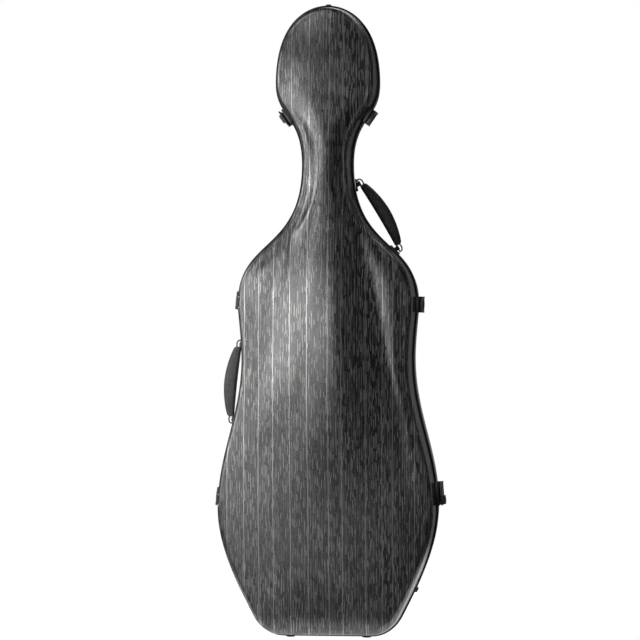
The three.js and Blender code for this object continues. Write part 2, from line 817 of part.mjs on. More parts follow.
function addHandle(name, rise, span, hand) {
  const ends = [-1, 1].map((end) => outlineAtRise(rise + end * span / 2, hand));
  const run = new THREE.Vector2(ends[1].x - ends[0].x, ends[1].rise - ends[0].rise);
  const length = run.length();
  const out = new THREE.Vector2(run.y, -run.x).multiplyScalar(hand / length);
  const middle = new THREE.Vector2((ends[0].x + ends[1].x) / 2, (ends[0].rise + ends[1].rise) / 2);
  middle.addScaledVector(out, handleAxisOut);
  const seat = makeSeat(middle.x, handleBack, middle.y, out.x, out.y);
  const rings = [-1, 1].map((end) => ringLoop(ringWireRadius + clearance).translate(0, 0, end * length / 2));
  [-1, 1].forEach((end) => {
    const isTop = end === hand;
    const place = isTop ? ends[1] : ends[0];
    const plateSeat = makeSeat(place.x, handleBack, place.rise, place.outX, place.outZ);
    const reach = handlePlateLength / 2;
    const plate = block(
      [-handleWallBite - blankDepth, -handlePlateWidth / 2, -reach],
      [handlePlateHeight, handlePlateWidth / 2, reach],
    );
    const barrel = barAlongZ(handleBarrelRadius, handleBarrelLength);
    const root = block(
      [-handleWallBite - handleBarrelRadius, -handleBarrelRadius, -handleBarrelLength / 2],
      [0, handleBarrelRadius, handleBarrelLength / 2],
    );
    const post = join(barrel, root).translate(0, 0, end * length / 2).applyMatrix4(seat.matrix);
    const base = weld(plate).applyMatrix4(plateSeat.matrix);
    const bore = barAlongZ(ringWireRadius + 2 * clearance, 2 * (ringHalfLength + ringWireRadius + clearance))
      .translate(0, 0, end * length / 2).applyMatrix4(seat.matrix);
    const word = isTop ? 'top' : 'bottom';
    const mount = cut(join(post, base), bore, envelope).applyMatrix4(plateSeat.matrix.clone().invert());
    addMesh(`${name}_mount_${word}`, mount, blackMetal, plateSeat);
    const ring = addMesh(`${name}_ring_${word}`, ringLoop(ringWireRadius), blackMetal, seat);
    ring.position.set(0, 0, end * length / 2);
  });
  addMesh(`${name}_grip`, cut(gripShape(length - 2 * gripTipGap), ...rings), leather, seat);
}

addHandle('waist_handle', riseOf(waistHandleRiseShare), waistHandleSpan, -1);
addHandle('neck_handle', riseOf(neckHandleRiseShare), neckHandleSpan, 1);

// Feet, each with a recess for its screw
function addFoot(name, x, back) {
  const seat = makeSeat(x, back, -footHeight, 0, -1);
  const profile = [
    [0, -blankDepth],
    [footRadius, -blankDepth],
    [footRadius, -footEdge],
    [footRadius - footEdge, 0],
    [footRecessRadius, 0],
    [footRecessRadius, -footRecess],
    [0, -footRecess],
  ].map(([radius, height]) => new THREE.Vector2(radius, height));
  const blank = new THREE.LatheGeometry(profile, roundSides).rotateZ(-Math.PI / 2);
  addMesh(name, seated(blank, seat), rubber, seat);
}

addFoot('front_left_foot', -footSpacing / 2, frontFootBack);
addFoot('front_right_foot', footSpacing / 2, frontFootBack);
addFoot('rear_left_foot', -footSpacing / 2, rearFootBack);
addFoot('rear_right_foot', footSpacing / 2, rearFootBack);

// Bumpers on the edge of the body
function bumper(length, height, depth) {
  const shape = new THREE.Shape();
  const slope = height / 2;
  shape.moveTo(-blankDepth, -length / 2);
  shape.lineTo(height - slope, -length / 2);
  shape.lineTo(height, slope - length / 2);
  shape.lineTo(height, length / 2 - slope);
  shape.lineTo(height - slope, length / 2);
  shape.lineTo(-blankDepth, length / 2);
  const solid = new THREE.ExtrudeGeometry(shape, { depth, bevelEnabled: false });
  return solid.rotateX(Math.PI / 2).translate(0, bumperBack + depth, 0);
}

const crownSeat = makeSeat(0, 0, shellHeight, 0, 1);
addMesh('crown_bumper', seated(bumper(crownBumperLength, crownBumperHeight, crownBumperDepth), crownSeat),
  rubber, crownSeat);
for (const [name, hand] of [['side_bumper_left', -1], ['side_bumper_right', 1]]) {
  const seat = edgeSeat(sideBumperRise, hand);
  addMesh(name, seated(bumper(sideBumperLength, sideBumperHeight, sideBumperDepth), seat), rubber, seat);
}

// Pads inside, each cut to the lining that carries it
const inCavity = (side, geometry) => common(geometry, cavities[side]);

const pad = (xs, front, rises) => inCavity(BODY, block(
  [xs[0], front, rises[0]],
  [xs[1], blankReach, rises[1]],
));

const around = (middle, length) => [middle - length / 2, middle + length / 2];
const shoulderPadRises = around(riseOf(shoulderPadRiseShare), shoulderPadLength);

for (const [word, hand] of [['left', -1], ['right', 1]]) {
  const across = (inner) => (hand < 0 ? [-blankReach, -inner] : [inner, blankReach]);
  addMesh(`shoulder_pad_${word}`, pad(across(shoulderPadInner), shoulderPadFront, shoulderPadRises), plush);
  addMesh(`lower_pad_${word}`, pad(across(lowerPadInner), lowerPadFront, lowerPadRises), plush);
}

const tailBlank = pad([-tailBlockWidth / 2, tailBlockWidth / 2], tailBlockFront, [-blankDepth, tailBlockTop]);
const endpinHole = barAlongZ(endpinRadius, 2 * tailBlockTop, roundSides).translate(0, endpinBack, tailBlockTop);
addMesh('tail_block', cut(tailBlank, endpinHole), plush);
const scrollPadRises = scrollPadDrops.map((drop) => shellHeight - drop);
addMesh('scroll_pad', pad([-scrollPadWidth / 2, scrollPadWidth / 2], scrollPadFront, scrollPadRises), plush);

const cradleRises = around(cradleRise, cradleLength);
const cradleBlank = pad([-cradleWidth / 2, cradleWidth / 2], cradleFront, cradleRises);
const notch = block(
  [-cradleNotchWidth / 2, 0, cradleRises[0] - overrun],
  [cradleNotchWidth / 2, cradleFront + cradleNotchDepth, cradleRises[1] + overrun],
);
addMesh('neck_cradle', cut(cradleBlank, notch), plush);
addMesh('neck_strap', block(
  [-strapWidth / 2, cradleFront - clearance - strapThickness, cradleRise - strapLength / 2],
  [strapWidth / 2, cradleFront - clearance, cradleRise + strapLength / 2],
), webbing);

// Pad, bow holders and bow pockets in the lid
addMesh('lid_neck_pad', inCavity(LID, block(
  [-lidNeckPadWidth / 2, -blankReach, cradleRise - lidNeckPadLength / 2],
  [lidNeckPadWidth / 2, -lidNeckPadFront, cradleRise + lidNeckPadLength / 2],
)), plush);

for (const [word, hand] of [['left', -1], ['right', 1]]) {
  const barAlongY = (radius, low, high, sides) =>
    new THREE.CylinderGeometry(radius, radius, high - low, sides)
      .translate(hand * bowHolderOut, (high + low) / 2, bowHolderRise);
  const post = inCavity(LID, barAlongY(bowHolderRadius, -blankReach, -bowHolderFront, roundSides));
  const socket = barAlongY(bowClipHubRadius + clearance, -bowHolderFront - bowClipHubDepth - clearance,
    -bowHolderFront + overrun, smallSides);
  addMesh(`bow_holder_${word}`, cut(post, socket), blackMetal);
  const clip = join(
    block([-bowClipWidth / 2, clearance, -bowClipLength / 2],
      [bowClipWidth / 2, clearance + bowClipThickness, bowClipLength / 2]),
    new THREE.CylinderGeometry(bowClipHubRadius, bowClipHubRadius, bowClipHubDepth + 2 * clearance, smallSides)
      .translate(0, clearance - bowClipHubDepth / 2, 0),
  );
  const mesh = addMesh(`bow_clip_${word}`, clip, blackMetal);
  mesh.position.set(hand * bowHolderOut, -bowHolderFront, bowHolderRise);
  const pocketBlank = block(
    [hand * bowPocketOut - bowPocketWidth / 2, -blankReach, bowPocketRise - bowPocketLength / 2],
    [hand * bowPocketOut + bowPocketWidth / 2, -bowPocketFront, bowPocketRise + bowPocketLength / 2],
  );
  const mouth = block(
    [hand * bowPocketOut - bowPocketWidth / 2 + bowPocketWall, -bowPocketFront - bowPocketMouthDepth,
      bowPocketRise - bowPocketLength / 2 - overrun],
    [hand * bowPocketOut + bowPocketWidth / 2 - bowPocketWall, -bowPocketFront - bowPocketWall,
      bowPocketRise + bowPocketLength / 2 - bowPocketWall],
  );
  addMesh(`bow_tip_pocket_${word}`, cut(inCavity(LID, pocketBlank), mouth), plush);
}

// The case stands on its feet over the middle of its own footprint
const box = new THREE.Box3().setFromObject(assembly);
const middle = box.getCenter(new THREE.Vector3());
assembly.position.set(-middle.x, -middle.y, -box.min.z);

export default assembly;
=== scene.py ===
"""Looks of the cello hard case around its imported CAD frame. Metres, +Z up, the lid faces -Y."""
import math

import bmesh
import bpy
import numpy as np
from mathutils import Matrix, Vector


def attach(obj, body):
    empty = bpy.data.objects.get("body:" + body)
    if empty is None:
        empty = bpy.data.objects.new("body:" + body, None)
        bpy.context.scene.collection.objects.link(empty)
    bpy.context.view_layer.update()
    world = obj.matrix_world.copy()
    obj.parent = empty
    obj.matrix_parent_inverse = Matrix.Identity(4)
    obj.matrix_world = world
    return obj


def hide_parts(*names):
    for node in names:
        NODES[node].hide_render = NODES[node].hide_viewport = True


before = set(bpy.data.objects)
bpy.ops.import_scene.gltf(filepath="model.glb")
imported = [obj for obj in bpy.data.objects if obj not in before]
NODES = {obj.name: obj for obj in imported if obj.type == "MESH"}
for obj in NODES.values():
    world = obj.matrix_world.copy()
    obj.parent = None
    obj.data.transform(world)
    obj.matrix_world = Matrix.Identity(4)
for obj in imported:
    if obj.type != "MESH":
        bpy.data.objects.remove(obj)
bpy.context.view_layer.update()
MM = 0.001

# Camera: the photo's view, from its pixels
PIXELS = 640
MM_PER_PIXEL = 2.131
CENTRE_PX, BASE_PY = 328.0, 634.5
CAMERA_AZIMUTH = math.radians(6.0)
CAMERA_DISTANCE = 6.0
SENSOR = 36.0
# the middle of the outline and the bottom of the shell in the shared frame, mm
OFFSET = np.array((-5.0896, -18.4588, 4.5))

scene = bpy.context.scene
scene.view_settings.view_transform = "Standard"


def add_camera():
    """Aims at the middle of the picture and gives the photo's scale at the case."""
    cos_a, sin_a = math.cos(CAMERA_AZIMUTH), math.sin(CAMERA_AZIMUTH)
    middle = OFFSET[0] * cos_a + OFFSET[1] * sin_a
    across = (middle + (PIXELS / 2 - CENTRE_PX) * MM_PER_PIXEL) * MM
    height = (OFFSET[2] + (BASE_PY - PIXELS / 2) * MM_PER_PIXEL) * MM
    aim = Vector((across * cos_a, across * sin_a, height))
    data = bpy.data.cameras.new("camera")
    data.sensor_width = SENSOR
    data.lens = SENSOR * CAMERA_DISTANCE / (PIXELS * MM_PER_PIXEL * MM)
    data.clip_end = 10 * CAMERA_DISTANCE
    camera = bpy.data.objects.new("camera", data)
    camera.location = aim + CAMERA_DISTANCE * Vector((sin_a, -cos_a, 0.0))
    camera.rotation_euler = (math.pi / 2, 0.0, CAMERA_AZIMUTH)
    scene.collection.objects.link(camera)
    scene.camera = camera


add_camera()

# Outline and skins, with the numbers of part.mjs, mm
SHELL_HEIGHT = 1337.0
BASE_WIDTH = 190.0
CORNER = (159.0, 42.0)
CORNER_LEAN = 0.51
CORNER_HANDLE = 0.6
LOWER_HANDLES = (0.28, 0.34)
CROWN_HANDLES = (0.812, 0.625)
# width, rise share, handle shares of the curve above
UPRIGHTS = (
    (470.0, 0.202693, (0.37, 0.375)),
    (368.0, 0.439043, (0.4, 0.2)),
    (384.0, 0.528048, (0.476, 0.634)),
    (109.0, 0.747943, (0.607, 0.423)),
    (221.0, 0.876589, None),
)
LID_DEPTH, BODY_DEPTH = 74.0, 152.0
SHELL_WALL = 2.2
LINING_GAP, LINING_THICKNESS = 0.4, 4.0
SHOULDER_RADIUS, WALL_DRAFT = 13.0, 5.0
SPINE_LOW, SPINE_HIGH = 190.0, 1215.0
RIDGE_RISE, LOBE_RISE, DOME_RISE, BODY_DOME_RISE = 38.0, 5.0, 15.0, 8.0
RIDGE_TOP, RIDGE_EDGE, RIDGE_FOOT, FADE_REACH = 30.0, 16.0, 0.12, 26.0
DEPTH_SHARES = np.array((
    (0, 0.9, 0.88), (0.2, 1, 1), (0.44, 0.97, 1), (0.55, 0.93, 0.96),
    (0.68, 0.83, 0.72), (0.76, 0.77, 0.62), (0.87, 0.79, 0.66), (1, 0.74, 0.6),
))
RELIEF_SHARES = np.array((
    (0, 0.8, 0, 0, 0.9), (0.17, 0.8, 0, 0, 1), (0.247, 0.77, 0.24, 0.2, 1),
    (0.337, 0.69, 0.74, 0.4, 1), (0.42, 0.58, 1, 0.6, 1), (0.49, 0.5, 1, 0.6, 1),
    (0.57, 0.4, 0.9, 0.6, 1), (0.644, 0.3, 0.7, 0.3, 0.9), (0.72, 0.28, 0.4, 0, 1.1),
    (0.79, 0.28, 0.15, 0, 1.4), (0.87, 0.34, 0, 0, 1), (1, 0.34, 0, 0, 0.9),
))
CLEARANCE, SEAM_GAP = 0.3, 0.15
RIM_LIP, RIM_LIP_REACH = 1.7, 12.0
RIM_BEAD_WIDTH, RIM_BEAD, RIM_WEB = 3.5, 1.9, 2.0
SEAL_INSET, SEAL_WIDTH = 4.4, 3.6
SKIN_INSET = RIM_LIP + CLEARANCE
LINING_INSET = SKIN_INSET + SHELL_WALL + LINING_GAP
RIM_WEB_WIDTH = LINING_INSET + LINING_THICKNESS
EDGE_REACH = RIM_BEAD + RIM_WEB + CLEARANCE
SHOULDER_INSET = SKIN_INSET + WALL_DRAFT + SHOULDER_RADIUS
LID, BODY = -1, 1

CURVE_STEPS = (10, 10, 28, 36, 16, 40, 26, 34)
SHOULDER_STEPS, FACE_STEPS = 8, 26
HALVINGS = 40


def half_curves():
    """Bezier curves of the right half of the outline, from the middle of the base to the crown."""
    foot = CORNER[0] - CORNER_LEAN * CORNER[1]
    half = BASE_WIDTH / 2
    curves = [((0, 0), (half / 3, 0), (half * 2 / 3, 0), (half, 0))]
    curves.append((
        (half, 0), (half + CORNER_HANDLE * (foot - half), 0),
        (CORNER[0] - CORNER_HANDLE * (CORNER[0] - foot), CORNER[1] * (1 - CORNER_HANDLE)), CORNER,
    ))
    width, share, _ = UPRIGHTS[0]
    rise = share * SHELL_HEIGHT
    run = rise - CORNER[1]
    low, high = LOWER_HANDLES
    curves.append((
        CORNER, (CORNER[0] + CORNER_LEAN * low * run, CORNER[1] + low * run),
        (width / 2, rise - high * run), (width / 2, rise),
    ))
    for (width, share, handles), (wide, above, _) in zip(UPRIGHTS, UPRIGHTS[1:]):
        low, high = share * SHELL_HEIGHT, above * SHELL_HEIGHT
        curves.append((
            (width / 2, low), (width / 2, low + handles[0] * (high - low)),
            (wide / 2, high - handles[1] * (high - low)), (wide / 2, high),
        ))
    width, share, _ = UPRIGHTS[-1]
    rise = share * SHELL_HEIGHT
    curves.append((
        (width / 2, rise), (width / 2, rise + CROWN_HANDLES[0] * (SHELL_HEIGHT - rise)),
        (width / 2 * (1 - CROWN_HANDLES[1]), SHELL_HEIGHT), (0, SHELL_HEIGHT),
    ))
    return [np.array(c, float) for c in curves]


def bezier(curve, t):
    """Points and unit tangents of one curve."""
    t = np.atleast_1d(np.asarray(t, float))[:, None]
    s = 1 - t
    a, b, c, d = curve
    point = s**3 * a + 3 * s * s * t * b + 3 * s * t * t * c + t**3 * d
    tangent = 3 * s * s * (b - a) + 6 * s * t * (c - b) + 3 * t * t * (d - c)
    return point, tangent / np.linalg.norm(tangent, axis=1)[:, None]


def make_outline():
    """Closed outline, counter-clockwise from the middle of the base: x, rise, outX, outZ."""
    right = []
    for curve, steps in zip(half_curves(), CURVE_STEPS):
        points, tangents = bezier(curve, np.arange(steps) / steps)
        right.append(np.column_stack((points, tangents[:, 1], -tangents[:, 0])))
    right = np.concatenate(right)
    right[0, 2:] = (0, -1)
    crown = np.array([[0, SHELL_HEIGHT, 0, 1]])
    left = right[:0:-1] * (-1, 1, -1, 1)
    return np.concatenate((right, crown, left))


OUTLINE = make_outline()


def outline_at(rise, hand):
    """Outline point and normal at a rise, on the right (+1) or left (-1)."""
    for curve in half_curves():
        if curve[0, 1] < rise <= curve[3, 1]:
            break
    low, high = 0.0, 1.0
    for _ in range(HALVINGS):
        middle = (low + high) / 2
        if bezier(curve, middle)[0][0, 1] < rise:
            low = middle
        else:
            high = middle
    point, tangent = bezier(curve, low)
    return hand * point[0, 0], rise, hand * tangent[0, 1], -tangent[0, 0]


def along(table, share, column):
    """Smooth value down a column of a table of shares."""
    share = np.asarray(share, float)
    keys, values = table[:, 0], table[:, column]
    last = len(keys) - 1
    before = np.maximum(np.arange(last + 1) - 1, 0)
    after = np.minimum(np.arange(last + 1) + 1, last)
    slopes = (values[after] - values[before]) / (keys[after] - keys[before])
    k = np.clip(np.searchsorted(keys, share, side="left") - 1, 0, last - 1)
    run = keys[k + 1] - keys[k]
    t = np.clip((share - keys[k]) / run, 0, 1)
    ease = t * t * (3 - 2 * t)
    lean = slopes[k] * t * (1 - t) ** 2 - slopes[k + 1] * t * t * (1 - t)
    return values[k] * (1 - ease) + values[k + 1] * ease + lean * run


def smoothstep(value, low, high):
    t = np.clip((value - low) / (high - low), 0, 1)
    return t * t * (3 - 2 * t)


def relief(side, x, rise, edge, share):
    """Height of the relief on the face of a half, above the edge of the shoulder."""
    dome = 1 - (1 - share) ** 2
    if side == BODY:
        return BODY_DOME_RISE * dome * np.ones_like(x)
    height = rise / SHELL_HEIGHT
    half = along(RELIEF_SHARES, height, 1) * UPRIGHTS[0][0] / 2
    across = np.abs(x)
    past = across - RIDGE_TOP
    tent = 1 - (past + np.hypot(past, RIDGE_EDGE)) / 2 / (half - RIDGE_TOP)
    ridge = (tent + np.hypot(tent, RIDGE_FOOT)) / 2
    fade = smoothstep(share * edge, 0, FADE_REACH)
    lobe = np.clip((across - half) / np.maximum(edge - half, FADE_REACH), 0, 1)
    return (fade * RIDGE_RISE * along(RELIEF_SHARES, height, 2) * ridge
            + LOBE_RISE * along(RELIEF_SHARES, height, 3) * np.sin(math.pi * lobe) ** 2
            + DOME_RISE * along(RELIEF_SHARES, height, 4) * dome)


def depth_at(side, rise):
    share = np.clip(rise / SHELL_HEIGHT, 0, 1)
    if side == LID:
        return LID_DEPTH * along(DEPTH_SHARES, share, 1)
    return BODY_DEPTH * along(DEPTH_SHARES, share, 2)


def skin_rows(side, inset):
    """Rows of a skin inside the outline, from the seam to the spine, and their points on the flat cloth."""
    sink = inset - SKIN_INSET
    radius = SHOULDER_RADIUS - sink
    x, rise, out_x, out_z = OUTLINE.T
    rows, cloth = [], []

    def wall(across, reach):
        at_x, at_rise = x - out_x * across, rise - out_z * across
        depth = depth_at(side, at_rise)
        y = reach(depth)
        rows.append(np.column_stack((at_x, side * y, at_rise)))
        drop = depth - y
        cloth.append(np.column_stack((at_x + out_x * drop, at_rise + out_z * drop)))

    wall(inset, lambda depth: np.full_like(depth, EDGE_REACH))
    wall(inset + WALL_DRAFT / 2, lambda depth: (EDGE_REACH + depth - SHOULDER_RADIUS) / 2)
    for angle in np.linspace(0, math.pi / 2, SHOULDER_STEPS):
        across = inset + WALL_DRAFT + radius * (1 - math.cos(angle))
        wall(across, lambda depth: depth - SHOULDER_RADIUS + radius * math.sin(angle))
    spine = np.clip(rise, SPINE_LOW, SPINE_HIGH)
    edge_x, edge_rise = x - out_x * SHOULDER_INSET, rise - out_z * SHOULDER_INSET
    edge = np.hypot(edge_x, spine - edge_rise)
    for step in range(1, FACE_STEPS + 1):
        share = step / FACE_STEPS
        at_x, at_rise = edge_x * (1 - share), edge_rise + (spine - edge_rise) * share
        out = depth_at(side, at_rise) - sink + relief(side, at_x, at_rise, edge, share)
        rows.append(np.column_stack((at_x, side * out, at_rise)))
        cloth.append(np.column_stack((at_x, at_rise)))
    return rows, cloth


# Mesh helpers
MERGE, CAD_MERGE, WELT_MERGE = 1e-6, 2e-6, 1e-5  # m
SIDE_PARTS = 2.2  # an arc takes at most 1 / 2.2 of each side of its corner
SHELL_ANGLE, TRIM_ANGLE, SEAL_ANGLE = 50, 35, 60  # degrees, sharper edges stay sharp


def place(points):
    """Millimetres of part.mjs to metres of the shared frame."""
    return (np.asarray(points, float) + OFFSET) * MM


def link(mesh, name, material=None):
    obj = bpy.data.objects.new(name, mesh)
    scene.collection.objects.link(obj)
    if material:
        mesh.materials.append(material)
    return obj


def tidy(mesh, distance=MERGE):
    """Joins corners that coincide and turns the faces outward."""
    work = bmesh.new()
    work.from_mesh(mesh)
    bmesh.ops.remove_doubles(work, verts=work.verts, dist=distance)
    bmesh.ops.dissolve_degenerate(work, edges=work.edges, dist=distance / 2)
    bmesh.ops.recalc_face_normals(work, faces=work.faces)
    work.to_mesh(mesh)
    work.free()


def smooth(mesh, angle=None):
    for polygon in mesh.polygons:
        polygon.use_smooth = True
    if angle is not None:
        mesh.set_sharp_from_angle(angle=math.radians(angle))


def band_map(low, high):
    """Map of one band of a wall, whose threads run round the case: depth, then way along the outline."""
    way = np.append(0, np.cumsum(np.linalg.norm(np.roll(low, -1, axis=0) - low, axis=1)))
    start, end = way[:-1], way[1:]
    low_y, high_y = np.abs(low[:, 1]), np.abs(high[:, 1])
    corners = [(low_y, start), (np.roll(low_y, -1), end), (np.roll(high_y, -1), end), (high_y, start)]
    return np.stack([np.column_stack(corner) for corner in corners], axis=1).reshape(-1, 2)


def loft(name, rows, material, closed_rows=False, cloth=None, angle=None, cap=False, bands=()):
    """Mesh through rows of points of equal count. Each row is a closed ring."""
    count = len(rows[0])
    points = np.concatenate([place(row) for row in rows])
    total = len(rows)
    faces = []
    for r in range(total if closed_rows else total - 1):
        low, high = r * count, (r + 1) % total * count
        for i in range(count):
            j = (i + 1) % count
            faces.append((low + i, low + j, high + j, high + i))
    if cap:
        faces.append(tuple(range(count - 1, -1, -1)))
        faces.append(tuple(range((total - 1) * count, total * count)))
    mesh = bpy.data.meshes.new(name)
    mesh.from_pydata(points.tolist(), [], faces)
    if cloth is not None:
        layer = mesh.uv_layers.new(name="cloth")
        flat = np.concatenate(cloth) * MM
        index = np.empty(len(mesh.loops), int)
        mesh.loops.foreach_get("vertex_index", index)
        flat = flat[index]
        for band in bands:
            flat[4 * band * count:4 * (band + 1) * count] = band_map(rows[band], rows[band + 1]) * MM
        layer.data.foreach_set("uv", flat.ravel())
    tidy(mesh)
    smooth(mesh, angle)
    return link(mesh, name, material)


def shell(name, side, inset, thickness, material):
    """Two skins joined along the seam."""
    outer, outer_cloth = skin_rows(side, inset)
    inner, inner_cloth = skin_rows(side, inset + thickness)
    bands = (len(inner), len(inner) + 1)
    cloth = inner_cloth[::-1] + outer_cloth
    return loft(name, inner[::-1] + outer, material, cloth=cloth, angle=SHELL_ANGLE, bands=bands)


def sweep_outline(name, section, material, angle=TRIM_ANGLE):
    """A section of (inset, reach) points carried round the outline."""
    x, rise, out_x, out_z = OUTLINE.T
    rows = [np.column_stack((x - out_x * inset, np.full_like(x, reach), rise - out_z * inset))
            for inset, reach in section]
    return loft(name, rows, material, closed_rows=True, angle=angle)


def rounded(section, radius, steps=3):
    """The corners of a section, each replaced by a small arc."""
    points = [np.array(p, float) for p in section]
    result = []
    for k, point in enumerate(points):
        before, after = points[k - 1], points[(k + 1) % len(points)]
        to_before, to_after = before - point, after - point
        far_before, far_after = np.linalg.norm(to_before), np.linalg.norm(to_after)
        reach = min(radius, far_before / SIDE_PARTS, far_after / SIDE_PARTS)
        start = point + to_before / far_before * reach
        end = point + to_after / far_after * reach
        for t in np.linspace(0, 1, steps):
            result.append((1 - t) ** 2 * start + 2 * t * (1 - t) * point + t * t * end)
    return result


# Materials, with lengths in m
def new_material(name, base, roughness, metallic=0.0, specular=0.5, **more):
    """The graph of a new material with these constants."""
    g = Graph(bpy.data.materials.new(name))
    g.fill(g.shader, {"Base Color": base, "Roughness": roughness, "Metallic": metallic,
                      "Specular IOR Level": specular, **more})
    return g


class Graph:
    """Short names for the node types that the materials and the world use."""

    def __init__(self, owner):
        owner.use_nodes = True
        self.owner, self.nodes, self.links = owner, owner.node_tree.nodes, owner.node_tree.links
        self.shader = self.nodes.get("Principled BSDF")

    def fill(self, node, values):
        """Puts values or links into a node's inputs, by name or number."""
        for slot, value in values.items():
            target = node.inputs[slot]
            if isinstance(value, bpy.types.NodeSocket):
                self.links.new(value, target)
            else:
                target.default_value = (*value, 1) if target.type == "RGBA" else value

    def node(self, kind, values, **settings):
        node = self.nodes.new("ShaderNode" + kind)
        for name, value in settings.items():
            setattr(node, name, value)
        self.fill(node, values)
        return node.outputs

    def finish(self, colour, bump, **more):
        """Links the colour, the bump (height, strength, distance) and more. Gives the material."""
        height, strength, distance = bump
        normal = self.node("Bump", {"Strength": strength, "Distance": distance, "Height": height})[0]
        self.fill(self.shader, {"Base Color": colour, "Normal": normal, **more})
        return self.owner

    def math(self, operation, *values):
        return self.node("Math", dict(enumerate(values)), operation=operation)[0]

    def chain(self, operation, values):
        total = values[0]
        for value in values[1:]:
            total = self.math(operation, total, value)
        return total

    def add(self, *values):
        return self.chain("ADD", values)

    def times(self, *values):
        return self.chain("MULTIPLY", values)

    def most(self, *values):
        return self.chain("MAXIMUM", values)

    def apart(self, a, b):
        return self.math("ABSOLUTE", self.math("SUBTRACT", a, b))

    def centred(self, value):
        return self.math("SUBTRACT", value, 0.5)

    def spread(self, value, low, reach):
        """A value of 0 to 1 carried to low up to low + reach."""
        return self.math("MULTIPLY_ADD", value, reach, low)

    def wave(self, value, pitch):
        return self.math("SINE", self.times(value, 2 * math.pi / pitch))

    def ramp(self, value, low, high, to_low=0.0, to_high=1.0, kind="SMOOTHSTEP"):
        """The way from low to high, as a way from one value to another."""
        values = {"Value": value, "From Min": low, "From Max": high, "To Min": to_low, "To Max": to_high}
        return self.node("MapRange", values, interpolation_type=kind)[0]

    def mix(self, share, a, b):
        return self.node("Mix", {0: share, 6: a, 7: b}, data_type="RGBA")[2]

    def noise(self, vector, scale, detail=2.0, rough=0.5):
        values = {"Vector": vector, "Scale": scale, "Detail": detail, "Roughness": rough}
        return self.node("TexNoise", values)["Fac"]

    def line_noise(self, value, detail, rough):
        """Noise along one value."""
        values = {"W": value, "Scale": 1.0, "Detail": detail, "Roughness": rough}
        return self.node("TexNoise", values, noise_dimensions="1D")["Fac"]

    def white(self, value):
        """An uneven value of 0 to 1, another one for each input."""
        return self.node("TexWhiteNoise", {"W": value}, noise_dimensions="1D")["Value"]

    def place(self):
        return self.node("TexCoord", {})["Object"]

    def split(self, vector):
        return self.node("SeparateXYZ", {0: vector})

    def cloth(self):
        return self.node("UVMap", {}, uv_map="cloth")[0]


# light dashes: width and length of a cell, half the width of a dash, seed, share of cells with a dash
SLUBS = ((0.0049, 0.032, 0.00085, 11.7, 0.7), (0.0063, 0.048, 0.00085, 23.9, 0.6))
# strands side by side: width, length, seed, strength
STRANDS = ((0.0052, 0.028, 41.0, 1.0), (0.0041, 0.016, 57.0, 0.7))
STRAND_SHARE, STRAND_BEND, BEND_PITCH = 0.24, 0.0013, 0.0317
LONG_THREAD_PITCH, LONG_THREAD_SHIFT = 0.036, 0.009
THREAD_WOBBLE = 0.003
WEAVE_PITCH = 0.0014
CELL_STEP, ROW_STEP, LENGTHS = 17.31, 5.77, 9.0  # keep the seeds of cells side by side apart
RESIN_DARK, RESIN_LIGHT = (0.004, 0.004, 0.004), (0.011, 0.011, 0.011)
FIBRE_COLOUR, FIBRE_METALLIC = (0.36, 0.355, 0.345), 0.68


